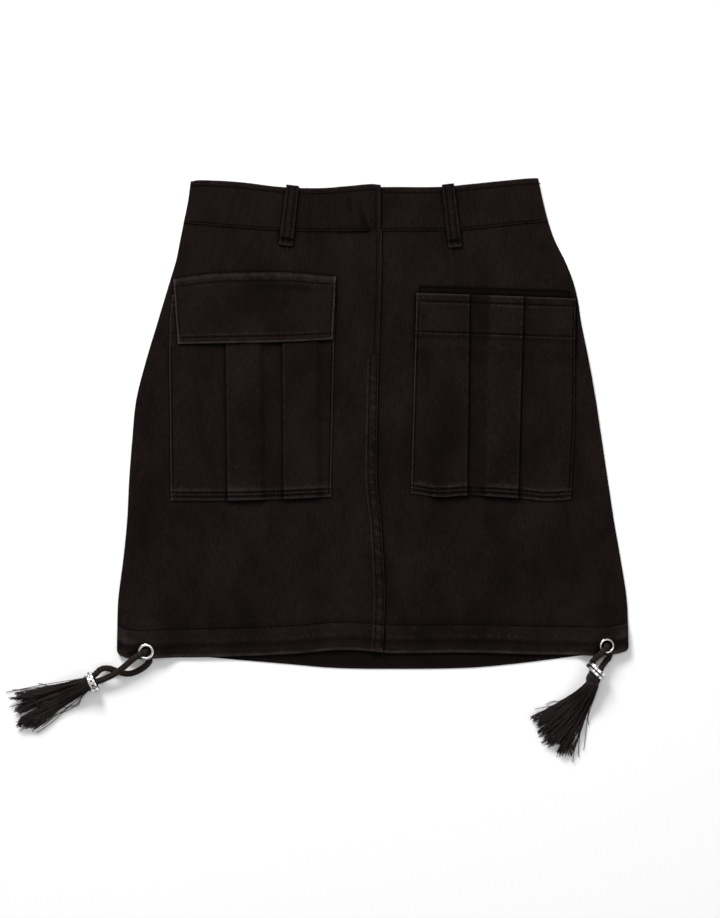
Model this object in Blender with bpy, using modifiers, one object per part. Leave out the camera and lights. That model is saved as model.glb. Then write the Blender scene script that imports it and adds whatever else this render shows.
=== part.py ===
"""A denim mini skirt, lying flat on its back with its front up.

The origin is under the middle of the skirt, on the surface it lies on. +X runs to the viewer's
right, +Y to the waist and +Z up. Left and right in names are the viewer's. Sizes are in
millimetres, and the meshes are made in metres.
"""

import math
from typing import NamedTuple

import bmesh
import bpy
from mathutils import Vector

MM = 0.001

# Cloth
CLOTH = 1.2  # one layer of the denim
DOUBLE = 2.4  # waistband, and the hem with its turn-up
POCKET_CLOTH = 1.0
FLAP_CLOTH = 1.6
LOOP_CLOTH = 1.4
LOOP_ROUNDING = 0.35  # how far a belt loop's edges lie below its middle
GAP = 0.3  # between pieces at a seam, and between layers
FRONT_BASE = CLOTH + GAP  # underside of the front, on top of the back

# Construction
LEFT_BAND_END = 7.6  # the end of the overlap, near the centre
BACK_BAND_DROP = 1.0  # the back of the waist lies this much lower than the front
UNDERLAP_END = -31.0  # how far the right waistband runs under the left one
CENTRE_LAP = 9.5  # how far the right front runs under the left one
LAP_RAMP = 4.5  # the left front climbs onto the right one over this width
LAP_GAP = 0.45
CENTRE_BACK = 2.6
HEM_DEPTH = 25.0
HEM_STEP = 5.0
PLEAT_DEPTH = 31.0
PLEAT_TURN = ((1.4, 0.0), (0.25, 0.12), (0.0, 0.5), (0.25, 0.88), (1.4, 1.0))  # back, layers up
PLEAT_TAIL = ((-1.0, 2.0), (2.6, 0.9), (6.4, 0.0))  # past the hidden fold, layers up
BACK_INSET = 2.4  # the back lies this far inside the front's turned side edge

# Eyelets, in the plane of the cloth they are set in
EYELET_HOLE = 4.7
EYELET_BARREL = 5.2
EYELET_RIM = 7.6
EYELET_WASHER = 6.6
EYELET_RIM_HEIGHT = 1.2
EYELET_WASHER_THICKNESS = 0.5
SEAT_FLAT = 11.0  # the cloth is flat this far round an eyelet's centre
SEAT_REACH = 32.0  # and lies down again at this distance

# Cords, beads and tassels
CORD_RADIUS = 3.0
CORD_SPACING = 3.4  # between the points of a cord's spline
BEAD_HEIGHT = 10.3  # of a bead's axis above the surface
BEAD_RADIUS = 10.0
BEAD_BORE = 8.4
BEAD_WIDTH = 6.6
PLUG_RADIUS = BEAD_BORE - GAP
HEAD_RADIUS = 6.2
STRAND_RINGS = 3  # rings of triangles in a tassel's end, 6 n² strands
FAN_LOWEST = 0.7
FAN_THICKNESS = 7.0
STRAND_HEIGHT = 0.85  # across the lie of the fan; each tassel states its strands' width

ROUND_STEPS = 24


class Side(NamedTuple):
    """The side edges at one height."""

    y: float
    left: float
    right: float


class Edge(NamedTuple):
    """A point of an edge that runs across the skirt."""

    x: float
    y: float


class Centre(NamedTuple):
    """The centre-front edge of the left panel at one height."""

    y: float
    x: float


class Fold(NamedTuple):
    """A soft ridge: its middle, heading in degrees, half length, half width and height."""

    x: float
    y: float
    heading: float
    length: float
    width: float
    height: float


class Seat(NamedTuple):
    """Where an eyelet is set: its centre, and the fall of the cloth there towards +X."""

    x: float
    y: float
    z: float
    slope: float


class PocketRow(NamedTuple):
    """A pocket's edges and folds at one height, from the side seam to the centre."""

    y: float
    side: float
    outer_fold: float
    inner_fold: float
    centre: float


class Rise(NamedTuple):
    """How far a flap stands off the front at one place across it."""

    x: float
    z: float


class LoopPoint(NamedTuple):
    """A section of a belt loop: how far down it is and its height, outside and underneath."""

    down: float
    z: float
    under_down: float
    under_z: float


class Lock(NamedTuple):
    """Where the strands go from one place across a tassel's head: heading in degrees and reach."""

    across: float
    heading: float
    reach: float


class Tassel(NamedTuple):
    """A bead's entry face, the axis of bead and head in degrees, the head's length, and the
    full width of a strand."""

    x: float
    y: float
    axis: float
    head: float
    strand: float


SIDES = (
    Side(-234, -243.4, 243.4),
    Side(-206, -243.0, 242.9),
    Side(-168, -242.0, 241.5),
    Side(-130, -237.3, 235.8),
    Side(-92, -233.5, 229.2),
    Side(-54, -231.6, 223.5),
    Side(-16, -228.7, 217.8),
    Side(22, -224.9, 212.1),
    Side(60, -215.4, 205.4),
    Side(98, -204.0, 197.8),
    Side(117, -198.3, 195.0),
    Side(136, -192.6, 190.2),
    Side(155, -186.9, 182.6),
    Side(174, -183.1, 173.1),
    Side(193, -179.3, 166.5),
    Side(212, -175.5, 161.7),
    Side(234, -172.6, 156.9),
)
WAIST_LEFT = (
    Edge(-176, 229.8),
    Edge(-164, 231.3),
    Edge(-126, 229.4),
    Edge(-88, 224.9),
    Edge(-52, 223.7),
    Edge(-22, 225.6),
    Edge(-2, 227.4),
    Edge(8, 226.6),
)
WAIST_RIGHT = (
    Edge(-32, 222.8),
    Edge(7, 224.7),
    Edge(64, 224.9),
    Edge(92, 227.5),
    Edge(111, 229.4),
    Edge(130, 231.3),
    Edge(149, 233.0),
    Edge(160, 233.2),
)
WAIST_SEAM = (
    Edge(-182, 190.8),
    Edge(-136, 186.8),
    Edge(-88, 183.6),
    Edge(-41, 182.6),
    Edge(27, 183.2),
    Edge(70, 183.4),
    Edge(100, 185.3),
    Edge(134, 189.2),
    Edge(168, 192.0),
)
FRONT_HEM = (
    Edge(-243, -219.3),
    Edge(-234, -222.4),
    Edge(-215, -223.7),
    Edge(-202, -222.6),
    Edge(-145, -221.8),
    Edge(-69, -218.6),
    Edge(-33, -215.2),
    Edge(-1, -216.6),
    Edge(18, -218.4),
    Edge(90, -217.8),
    Edge(158, -219.5),
    Edge(222, -219.7),
    Edge(243, -216.1),
)
BACK_HEM = (
    Edge(-243, -217.5),
    Edge(-215, -220.5),
    Edge(-174, -221.0),
    Edge(-128, -224.7),
    Edge(-82, -228.5),
    Edge(-37, -232.3),
    Edge(20, -233.2),
    Edge(89, -232.3),
    Edge(134, -228.5),
    Edge(180, -222.8),
    Edge(203, -219.9),
    Edge(243, -215.0),
)
CENTRE_FRONT = (
    Centre(-217, 9.5),
    Centre(-187, 11.2),
    Centre(-158, 11.6),
    Centre(-96, 8.3),
    Centre(-54, 4.0),
    Centre(22, 5.0),
    Centre(62, 5.9),
    Centre(136, 8.3),
    Centre(184, 8.8),
)
FOLDS = (
    Fold(-34, -214, 90, 42, 13, 1.8),
    Fold(-120, -150, 78, 70, 26, 0.9),
    Fold(110, -140, 98, 80, 28, 0.9),
    Fold(-215, 60, 108, 90, 9, 1.0),
    Fold(203, 40, 78, 90, 9, 1.0),
)
EYELETS = {
    "left": Seat(-214.9, -216.3, 11.0, 0.0),
    "right": Seat(221.9, -210.7, 11.3, -0.1),
}

# Columns of a front panel: first its turned side edge, then millimetres in from the side, then
# parts of what is left, and last millimetres short of the centre-front edge.
FRONT_INSETS = (5, 10, 15, 20, 25, 30, 35, 40, 47, 56)
FRONT_SHARES = (0.14, 0.28, 0.42, 0.56, 0.7, 0.84)
HEM_ROWS = (0, 4, 8, 12, 16, 20.5, 25, 30, 38)
FRONT_ROWS = (*HEM_ROWS, 52, 78, 112, 146, 180, 214, 248, 282, 312, 335, 355, 373, 389)
BACK_SHARES = (0, 0.14, 0.28, 0.42, 0.56, 0.7, 0.85, 1)
BACK_ROWS = (0, 25, 60, 100, 140, 180, 215, 250, 282, 316, 350, 380)
PANEL_LENGTH = 404.0  # nominal, hem to waist seam, which the rows above are parts of

POCKET_ROWS = {
    "left": (
        PocketRow(-73, -191.7, -137.5, -84.3, -39.8),
        PocketRow(3, -192.6, -138.5, -84.8, -38.2),
        PocketRow(89, -193.1, -139.4, -85.6, -36.3),
        PocketRow(125, -190.4, -140.4, -85.9, -35.1),
    ),
    "right": (
        PocketRow(-73, 188.1, 138.0, 89.5, 36.2),
        PocketRow(4, 191.7, 139.9, 90.5, 38.2),
        PocketRow(80, 192.2, 142.0, 91.4, 40.4),
        PocketRow(125, 192.6, 143.2, 91.9, 41.7),
    ),
}
POCKET_BOTTOM = {
    "left": (Edge(-195, -73.2), Edge(-137, -73.2), Edge(-84, -71.7), Edge(-35, -69.4)),
    "right": (
        Edge(34, -66.0),
        Edge(63, -69.8),
        Edge(90, -68.4),
        Edge(137, -70.8),
        Edge(166, -73.6),
        Edge(195, -71.4),
    ),
}
POCKET_MOUTH = {
    "left": (Edge(-195, 122.0), Edge(-35, 123.0)),
    "right": (Edge(36, 124.2), Edge(195, 118.6)),
}
POCKET_SHARES = (0, 0.2, 0.4, 0.6, 0.75, 0.87, 1)

# The left flap lies over its pocket, which lifts it: a flap's top and bottom edges and its ends.
FLAP_TOP = (Edge(-190, 137.3), Edge(-157, 142.0), Edge(-117, 143.5), Edge(-80, 143.5), Edge(-35, 139.7))
FLAP_BOTTOM = (Edge(-190, 75.4), Edge(-84, 77.4), Edge(-37, 79.9))
FLAP_SIDE = (Edge(76, -185.0), Edge(137, -189.5))  # its first column is the height here
FLAP_CENTRE = (Edge(80, -38.0), Edge(140, -34.9))
FLAP_RISE = (
    Rise(-190, 1.9),
    Rise(-160, 2.7),
    Rise(-141, 4.3),
    Rise(-112, 4.3),
    Rise(-98, 3.4),
    Rise(-86, 4.3),
    Rise(-56, 4.3),
    Rise(-35, 2.6),
)
# The right flap is tucked into its pocket, and only its root shows above the mouth.
TUCKED_TOP = (Edge(43, 130.4), Edge(187, 125.6))
TUCKED_LENGTH = 56.0
TUCKED_ENDS = (44.6, 186.4)
TUCKED_FADE = 14.0

BELT_LOOPS = {
    "left": (Vector((-76.0, 226.3)), Vector((-82.7, 168.9)), 12.0, 13.4),
    "right": (Vector((71.3, 227.5)), Vector((78.4, 167.2)), 11.4, 12.8),
}

TASSELS = {
    "left": Tassel(-262.9, -243.5, 203, 3.6, 2.0),
    "right": Tassel(211.7, -230.6, 257, 11.0, 2.7),
}
LOCKS = {
    "left": (
        Lock(-1.0, 218.5, 64),
        Lock(-0.5, 213.5, 70),
        Lock(-0.1, 208.5, 71),
        Lock(0.15, 203.5, 76),
        Lock(0.35, 201.5, 74),
        Lock(0.55, 195.5, 72),
        Lock(0.8, 192.8, 77),
        Lock(1.0, 190.5, 73),
    ),
    "right": (
        Lock(-1.0, 253, 66),
        Lock(-0.6, 247, 71),
        Lock(-0.2, 239, 66),
        Lock(0.2, 229, 61),
        Lock(0.6, 218, 64),
        Lock(1.0, 209, 65),
    ),
}
# Sections of a strand: how far along, and the shares of its full width and height there.
STRAND_STEPS = ((0.07, 0.5, 0.9), (0.22, 0.66, 0.9), (0.45, 0.97, 1.0), (0.72, 1.25, 1.0), (1.0, 0.9, 0.8))

# Each cord starts in its bead, goes over the hem and down its eyelet, and comes back under the hem.
CORD_ROUTES = {
    "left": (
        (-264.7, -246.0, 8.5),
        (-262.2, -245.0, 8.5),
        (-256.3, -242.9, 8.8),
        (-250.1, -240.2, 9.6),
        (-242.9, -236.1, 10.9),
        (-235.6, -230.6, 12.6),
        (-228.4, -224.3, 14.6),
        (-221.6, -219.2, 15.7),
        (-218.4, -217.8, 15.4),
        (-216.6, -217.1, 14.0),
        (-215.6, -216.7, 12.0),
        (-214.9, -216.2, 9.6),
        (-214.5, -216.0, 7.5),
        (-214.0, -216.9, 5.7),
        (-213.3, -219.2, 4.7),
        (-212.4, -222.4, 4.55),
        (-212.4, -226.0, 4.3),
        (-216.1, -230.3, 3.6),
        (-222.3, -234.6, 3.35),
        (-230.5, -237.5, 3.3),
        (-237.7, -237.0, 3.3),
        (-245.0, -234.4, 3.6),
        (-251.2, -232.4, 5.0),
        (-257.3, -232.9, 7.2),
        (-261.0, -235.8, 9.3),
        (-263.3, -238.1, 10.1),
        (-264.9, -238.95, 10.3),
        (-267.3, -239.95, 10.3),
    ),
    "right": (
        (206.25, -232.0, 10.3),
        (206.83, -229.5, 10.3),
        (207.6, -226.8, 11.4),
        (209.9, -223.4, 14.0),
        (213.6, -220.0, 15.9),
        (217.3, -216.2, 16.5),
        (219.6, -213.7, 16.0),
        (220.9, -212.2, 14.4),
        (221.6, -211.3, 12.2),
        (222.0, -210.6, 9.8),
        (222.4, -210.6, 7.7),
        (222.9, -211.7, 5.8),
        (223.7, -214.2, 4.75),
        (224.6, -217.4, 4.55),
        (224.9, -220.4, 4.5),
        (223.7, -223.0, 4.9),
        (221.4, -225.2, 6.2),
        (219.1, -228.0, 8.7),
        (217.4, -230.0, 10.0),
        (216.57, -231.8, 10.3),
        (215.98, -234.3, 10.3),
    ),
}

DENIM = ((0.0100, 0.0083, 0.0075), 0.88, 0.0)
METAL = ((0.78, 0.78, 0.77), 0.22, 1.0)
CORD = ((0.018, 0.015, 0.014), 0.75, 0.0)
THREAD = ((0.014, 0.012, 0.012), 0.42, 0.0)


def step(t):
    """0 below 0, 1 above 1, and smooth between."""
    t = min(max(t, 0.0), 1.0)
    return t * t * (3 - 2 * t)


def mix(a, b, share):
    return a + (b - a) * share


def smooth(table, at, column):
    """A column's value on a smooth curve through the table, whose first column is the place."""
    places = [row[0] for row in table]
    values = [getattr(row, column) for row in table]
    last = len(table) - 1
    at = min(max(at, places[0]), places[last])
    k = max(i for i in range(last) if places[i] <= at)

    def slope(i):
        low, high = max(i - 1, 0), min(i + 1, last)
        return (values[high] - values[low]) / (places[high] - places[low])

    span = places[k + 1] - places[k]
    t = (at - places[k]) / span
    bend = slope(k) * t * (1 - t) ** 2 - slope(k + 1) * t * t * (1 - t)
    return mix(values[k], values[k + 1], step(t)) + span * bend


def front_wall(x, y):
    """Thickness of the front, which is doubled by the hem's turn-up."""
    above_hem = y - smooth(FRONT_HEM, x, "y")
    return mix(DOUBLE, CLOTH, step((above_hem - HEM_DEPTH + HEM_STEP) / HEM_STEP))


def front_top(x, y):
    """Height of the front's upper side, with its soft folds and the lift round each eyelet."""
    top = FRONT_BASE + front_wall(x, y)
    for fold in FOLDS:
        heading = math.radians(fold.heading)
        dx, dy = x - fold.x, y - fold.y
        along = dx * math.cos(heading) + dy * math.sin(heading)
        aside = dy * math.cos(heading) - dx * math.sin(heading)
        top += fold.height * math.exp(-((along / fold.length) ** 2) - (aside / fold.width) ** 2)
    for seat in EYELETS.values():
        away = math.hypot(x - seat.x, y - seat.y)
        held = 1 - step((away - SEAT_FLAT) / (SEAT_REACH - SEAT_FLAT))
        top = mix(top, seat.z + seat.slope * (x - seat.x), held)
    return top


def material(name, look):
    colour, roughness, metallic = look
    made = bpy.data.materials.new(name)
    made.use_nodes = True
    shader = made.node_tree.nodes["Principled BSDF"]
    shader.inputs["Base Color"].default_value = (*colour, 1)
    shader.inputs["Roughness"].default_value = roughness
    shader.inputs["Metallic"].default_value = metallic
    return made


def place(name, data, finish):
    """A new object in the skirt's collection."""
    made = bpy.data.objects.new(name, data)
    data.materials.append(finish)
    SKIRT.objects.link(made)
    return made


def mesh_of(name, bm):
    bmesh.ops.triangulate(bm, faces=bm.faces[:])
    bmesh.ops.recalc_face_normals(bm, faces=bm.faces[:])
    mesh = bpy.data.meshes.new(name)
    bm.to_mesh(mesh)
    bm.free()
    mesh.shade_smooth()
    mesh.set_sharp_from_angle(angle=math.radians(40))
    return mesh


def wall(name, outer, inner, finish):
    """A closed wall between an outer and an inner skin, which are grids of points of one size."""
    bm = bmesh.new()
    skins = [[[bm.verts.new(point * MM) for point in row] for row in skin] for skin in (outer, inner)]
    rows, columns = len(outer), len(outer[0])
    for skin in skins:
        for r in range(rows - 1):
            for c in range(columns - 1):
                bm.faces.new((skin[r][c], skin[r][c + 1], skin[r + 1][c + 1], skin[r + 1][c]))
    rim = [(0, c) for c in range(columns)] + [(r, columns - 1) for r in range(1, rows)]
    rim += [(rows - 1, c) for c in range(columns - 2, -1, -1)] + [(r, 0) for r in range(rows - 2, 0, -1)]
    for (r, c), (s, d) in zip(rim, rim[1:] + rim[:1]):
        bm.faces.new((skins[0][r][c], skins[0][s][d], skins[1][s][d], skins[1][r][c]))
    return place(name, mesh_of(name, bm), finish)


def turned_edge(side_x, inward, top, thick):
    """Outer and inner points of a side edge that turns down to the surface, from its foot up."""
    outer = ((0.0, 0.0), (0.0, 0.5), (0.4, 0.84), (1.5, 0.98))
    base = top - thick
    inner = ((CLOTH, 0.0), (CLOTH, 0.6 * base), (1.5, 0.92 * base), (3.0, base))
    return [
        ((side_x + inward * a, share * top), (side_x + inward * c, z))
        for (a, share), (c, z) in zip(outer, inner)
    ]


def settled(share, x, low, high):
    """The place on a row, at this share of the way from the low edge to the high one."""
    return mix(smooth(low, x, "y"), smooth(high, x, "y"), share)


def front_panel(side):
    """One front panel. The left one laps over the right one at the centre."""
    inward = 1 if side == "left" else -1
    outer, inner = [], []
    for distance in (*FRONT_ROWS, PANEL_LENGTH):
        share = distance / PANEL_LENGTH

        def height(x):
            return settled(share, x, FRONT_HEM, WAIST_SEAM) - (GAP if distance == PANEL_LENGTH else 0)

        edge = 0.0
        for _ in range(4):
            edge = smooth(SIDES, height(edge), side)
        centre = 0.0
        for _ in range(3):
            centre = smooth(CENTRE_FRONT, height(centre), "x")
        if side == "right":
            centre -= CENTRE_LAP
        lap = CENTRE_LAP if side == "left" else 0
        inset = FRONT_INSETS[-1]
        run = abs(centre - edge) - inset - lap
        across = [edge + inward * value for value in FRONT_INSETS]
        across += [edge + inward * (inset + run * value) for value in FRONT_SHARES]
        if side == "left":
            across += [centre - lap - LAP_RAMP, centre - lap - 1.0, centre - lap / 2, centre]
        else:
            across += [centre + CENTRE_LAP + 2, centre]
        y = height(edge)
        top, thick = front_top(edge, y), front_wall(edge, y)
        rolled = turned_edge(edge, inward, top, thick)
        upper = [Vector((a[0], y, a[1])) for a, _ in rolled]
        lower = [Vector((b[0], y, b[1])) for _, b in rolled]
        for x in across:
            y = height(x)
            thick = front_wall(x, y)
            over = step((x - centre + lap + LAP_RAMP) / (LAP_RAMP - 1)) if side == "left" else 0
            top = front_top(x, y) + (thick + LAP_GAP) * over
            upper.append(Vector((x, y, top)))
            lower.append(Vector((x, y, top - thick)))
        outer.append(upper)
        inner.append(lower)
    made = wall(f"front_panel_{side}", outer, inner, DENIM_FINISH)
    cutter = eyelet_cutter(side)
    hole = made.modifiers.new("eyelet hole", "BOOLEAN")
    hole.operation = "DIFFERENCE"
    hole.object = cutter
    return made


def seat_normal(seat):
    return Vector((-seat.slope, 0, 1)).normalized()


def eyelet_cutter(side):
    """The hole that the eyelet's barrel goes through."""
    seat = EYELETS[side]
    bm = bmesh.new()
    bmesh.ops.create_cone(
        bm,
        cap_ends=True,
        segments=ROUND_STEPS,
        radius1=(EYELET_BARREL + GAP) * MM,
        radius2=(EYELET_BARREL + GAP) * MM,
        depth=4 * DOUBLE * MM,
    )
    mesh = bpy.data.meshes.new(f"cutter_{side}")
    bm.to_mesh(mesh)
    bm.free()
    cutter = bpy.data.objects.new(f"cutter_{side}", mesh)
    cutter.location = Vector((seat.x, seat.y, seat.z - DOUBLE / 2)) * MM
    cutter.rotation_euler = seat_normal(seat).to_track_quat("Z", "Y").to_euler()
    cutter.hide_render = True
    cutter.display_type = "WIRE"
    CUTTERS.objects.link(cutter)
    return cutter


def back_panel(side):
    """One back panel, flat on the surface, up to the seam at centre back."""
    inward = 1 if side == "left" else -1
    rows = []
    for distance in (*BACK_ROWS, PANEL_LENGTH):
        share = distance / PANEL_LENGTH

        def height(x):
            return settled(share, x, BACK_HEM, WAIST_SEAM) - (GAP if distance == PANEL_LENGTH else 0)

        edge = 0.0
        for _ in range(4):
            edge = smooth(SIDES, height(edge), side)
        edge += inward * BACK_INSET
        centre = CENTRE_BACK - inward * GAP / 2
        xs = [mix(edge, centre, value) for value in BACK_SHARES]
        rows.append([Vector((x, height(x), 0)) for x in xs])
    raised = [[point + Vector((0, 0, CLOTH)) for point in row] for row in rows]
    return wall(f"back_panel_{side}", raised, rows, DENIM_FINISH)


def band_rows(xs, top_edge, lift, rolled_side):
    """Upper and lower points of a front waistband, along its seam, its middle and its top."""
    outer, inner = [], []
    for share in (0, 0.5, 1):
        upper, lower = [], []

        def height(x):
            return mix(smooth(WAIST_SEAM, x, "y"), smooth(top_edge, x, "y"), share)

        if rolled_side:
            inward = 1 if rolled_side == "left" else -1
            edge = 0.0
            for _ in range(4):
                edge = smooth(SIDES, height(edge), rolled_side)
            rolled = turned_edge(edge, inward, FRONT_BASE + DOUBLE, DOUBLE)
            upper += [Vector((a[0], height(edge), a[1])) for a, _ in rolled]
            lower += [Vector((b[0], height(edge), b[1])) for _, b in rolled]
        for x in xs:
            top = FRONT_BASE + DOUBLE + lift(x)
            upper.append(Vector((x, height(x), top)))
            lower.append(Vector((x, height(x), top - DOUBLE)))
        outer.append(upper)
        inner.append(lower)
    return outer, inner


def waistbands():
    """The left front band overlaps the right one; the back one lies under both."""

    def lap(x):
        return (DOUBLE + GAP) * step((x - UNDERLAP_END + 6) / 5)

    xs = (-166, -140, -112, -84, -60, -40, -37, -35, -31.6, -22, -12, -2, 5.6, LEFT_BAND_END)
    wall("waistband_front_left", *band_rows(xs, WAIST_LEFT, lap, "left"), DENIM_FINISH)
    xs = (150, 130, 108, 86, 64, 40, 16, -8, UNDERLAP_END)
    wall("waistband_front_right", *band_rows(xs, WAIST_RIGHT, lambda x: 0, "right"), DENIM_FINISH)
    rows = []
    for share in (0, 1):
        row = []
        for across in range(13):
            x = mix(-190.0, 190.0, across / 12)
            for _ in range(4):
                top = smooth(WAIST_LEFT if x < LEFT_BAND_END else WAIST_RIGHT, x, "y")
                y = mix(smooth(WAIST_SEAM, x, "y"), top - BACK_BAND_DROP, share)
                left = smooth(SIDES, y, "left") + BACK_INSET
                right = smooth(SIDES, y, "right") - BACK_INSET
                x = mix(left, right, across / 12)
            row.append(Vector((x, y, 0)))
        rows.append(row)
    raised = [[point + Vector((0, 0, CLOTH)) for point in row] for row in rows]
    wall("waistband_back", raised, rows, DENIM_FINISH)


def belt_loop(side):
    """A strap that turns down at the waist edge and is stitched below the band."""
    top, foot, top_width, foot_width = BELT_LOOPS[side]
    on_band = FRONT_BASE + DOUBLE + GAP
    on_front = FRONT_BASE + CLOTH + GAP
    turn = LOOP_CLOTH * 0.9  # the thickness of the strap where it turns down
    length = (top - foot).length
    path = (
        LoopPoint(0.0, 1.6, turn, 1.6),
        LoopPoint(0.0, on_band + 0.5, turn, on_band + 0.1),
        LoopPoint(0.9, on_band + LOOP_CLOTH, 0.9, on_band),
        LoopPoint(14.0, on_band + LOOP_CLOTH + 0.9, 14.0, on_band + 0.9),
        LoopPoint(30.0, on_band + LOOP_CLOTH + 0.7, 30.0, on_band + 0.7),
        LoopPoint(44.0, on_band + LOOP_CLOTH, 44.0, on_band),
        LoopPoint(48.5, on_front + 2 * LOOP_CLOTH, 48.5, on_front + 0.1),
        LoopPoint(length, on_front + 2 * LOOP_CLOTH - 0.3, length, on_front + 0.1),
    )
    down = (foot - top).normalized()
    aside = Vector((-down.y, down.x))
    outer, inner = [], []
    for point in path:
        width = mix(top_width, foot_width, point.down / length)
        upper, lower = [], []
        for share in (-0.5, -0.3, 0.3, 0.5):
            rounding = LOOP_ROUNDING if abs(share) == 0.5 and point.down > 0 else 0
            at = top + down * point.down + aside * width * share
            under = top + down * point.under_down + aside * width * share
            upper.append(Vector((at.x, at.y, point.z - rounding)))
            lower.append(Vector((under.x, under.y, point.under_z)))
        outer.append(upper)
        inner.append(lower)
    wall(f"belt_loop_{side}", outer, inner, DENIM_FINISH)


def pocket_line(row, inward):
    """Middle line of the pocket's cloth across one row, as places and levels of layers.

    It folds back under itself at the outer and at the inner fold, and settles behind each pleat.
    """
    line = [(row.side, 0.0), (row.side + inward * 16, 0.0)]
    for fold in (row.outer_fold, row.inner_fold):
        hidden = fold + inward * PLEAT_DEPTH
        for turn, facing, level in ((hidden, 1, 0), (fold, -1, 1)):
            for back, up in PLEAT_TURN:
                line.append((turn - facing * inward * back, level + up))
        for past, level in PLEAT_TAIL:
            line.append((hidden + inward * past, level))
    line.append((row.centre - inward * 5, 0.0))
    line.append((row.centre, 0.0))
    return line


def offset_line(points, distance):
    """The points of a line in a plane, moved to its left by this distance."""
    moved = []
    for i, point in enumerate(points):
        before = (point - points[i - 1]).normalized() if i else None
        after = (points[i + 1] - point).normalized() if i + 1 < len(points) else None
        heading = ((before or after) + (after or before)).normalized()
        moved.append(point + Vector((-heading.y, heading.x)) * distance)
    return moved


def pocket_floor(side, x, y):
    """Height that a pocket's first layer lies on: the front, and the tucked flap on the right."""
    floor = front_top(x, y) + GAP
    if side == "right":
        flap_end = smooth(TUCKED_TOP, x, "y") - TUCKED_LENGTH
        floor += (FLAP_CLOTH + GAP) * step((y - flap_end) / TUCKED_FADE + 1)
    return floor


def pocket(side):
    """A patch pocket with two knife pleats that face the side seam."""
    inward = 1 if side == "left" else -1
    layer = POCKET_CLOTH + GAP
    outer, inner = [], []
    for share in POCKET_SHARES:
        middle = mix(smooth(POCKET_BOTTOM[side], 0, "y"), smooth(POCKET_MOUTH[side], 0, "y"), share)
        columns = [smooth(POCKET_ROWS[side], middle, name) for name in PocketRow._fields[1:]]
        row = PocketRow(middle, *columns)
        line = pocket_line(row, inward)
        flat = [Vector((x, POCKET_CLOTH / 2 + level * layer)) for x, level in line]
        for skin, distance in ((outer, 0.5), (inner, -0.5)):
            points = []
            for (x, _), moved in zip(line, offset_line(flat, inward * distance * POCKET_CLOTH)):
                y = settled(share, x, POCKET_BOTTOM[side], POCKET_MOUTH[side])
                points.append(Vector((moved.x, y, moved.y + pocket_floor(side, x, y))))
            skin.append(points)
    wall(f"pocket_{side}", outer, inner, DENIM_FINISH)


def flap_left():
    """The flap that lies over its pocket, lifted by the pleats below it."""
    outer, inner = [], []
    for share in (0, 0.2, 0.4, 0.6, 0.72, 0.8, 0.9, 1):
        upper, lower = [], []
        for across in range(13):
            x = mix(-188.0, -36.0, across / 12)
            for _ in range(3):
                y = settled(share, x, FLAP_BOTTOM, FLAP_TOP)
                x = mix(smooth(FLAP_SIDE, y, "y"), smooth(FLAP_CENTRE, y, "y"), across / 12)
            over_mouth = step((smooth(FLAP_TOP, x, "y") - y - 2) / 14)
            z = front_top(x, y) + mix(GAP, smooth(FLAP_RISE, x, "z"), over_mouth)
            upper.append(Vector((x, y, z + FLAP_CLOTH)))
            lower.append(Vector((x, y, z)))
        outer.append(upper)
        inner.append(lower)
    wall("pocket_flap_left", outer, inner, DENIM_FINISH)


def flap_right():
    """The flap that hangs down inside its pocket."""
    outer, inner = [], []
    for share in (0, 0.3, 0.6, 0.9, 1):
        upper, lower = [], []
        for across in range(9):
            x = mix(*TUCKED_ENDS, across / 8)
            y = smooth(TUCKED_TOP, x, "y") - TUCKED_LENGTH * (1 - share)
            z = front_top(x, y) + GAP
            upper.append(Vector((x, y, z + FLAP_CLOTH)))
            lower.append(Vector((x, y, z)))
        outer.append(upper)
        inner.append(lower)
    wall("pocket_flap_right", outer, inner, DENIM_FINISH)


def turned_ring(name, profile, centre, axis, finish, steps):
    """A ring turned from a closed profile of radius and height, set on its axis."""
    bm = bmesh.new()
    points = [bm.verts.new((radius * MM, 0, height * MM)) for radius, height in profile]
    for start, end in zip(points, points[1:] + points[:1]):
        bm.edges.new((start, end))
    mesh = bpy.data.meshes.new(name)
    bm.to_mesh(mesh)
    bm.free()
    ring = place(name, mesh, finish)
    ring.location = centre * MM
    ring.rotation_euler = axis.to_track_quat("Z", "Y").to_euler()
    turn = ring.modifiers.new("turn", "SCREW")
    turn.steps = turn.render_steps = steps
    turn.use_merge_vertices = True
    turn.merge_threshold = 0.0001
    return ring


def eyelet(side):
    """A rolled rim on the face, a barrel through the hem and a washer behind it."""
    seat = EYELETS[side]
    normal = seat_normal(seat)
    grip = DOUBLE * normal.z + GAP
    foot = -grip - EYELET_WASHER_THICKNESS
    profile = (
        (EYELET_HOLE, foot),
        (EYELET_HOLE, 0.55),
        (EYELET_HOLE + 0.35, EYELET_RIM_HEIGHT - 0.15),
        (EYELET_HOLE + 1.1, EYELET_RIM_HEIGHT),
        (EYELET_RIM - 0.7, EYELET_RIM_HEIGHT - 0.15),
        (EYELET_RIM, GAP + 0.35),
        (EYELET_RIM - 0.15, GAP),
        (EYELET_BARREL, GAP),
        (EYELET_BARREL, -grip),
        (EYELET_WASHER, -grip),
        (EYELET_WASHER, foot),
    )
    centre = Vector((seat.x, seat.y, seat.z))
    turned_ring(f"eyelet_{side}", profile, centre, normal, METAL_FINISH, ROUND_STEPS)


def heading(degrees):
    return Vector((math.cos(math.radians(degrees)), math.sin(math.radians(degrees)), 0))


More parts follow.
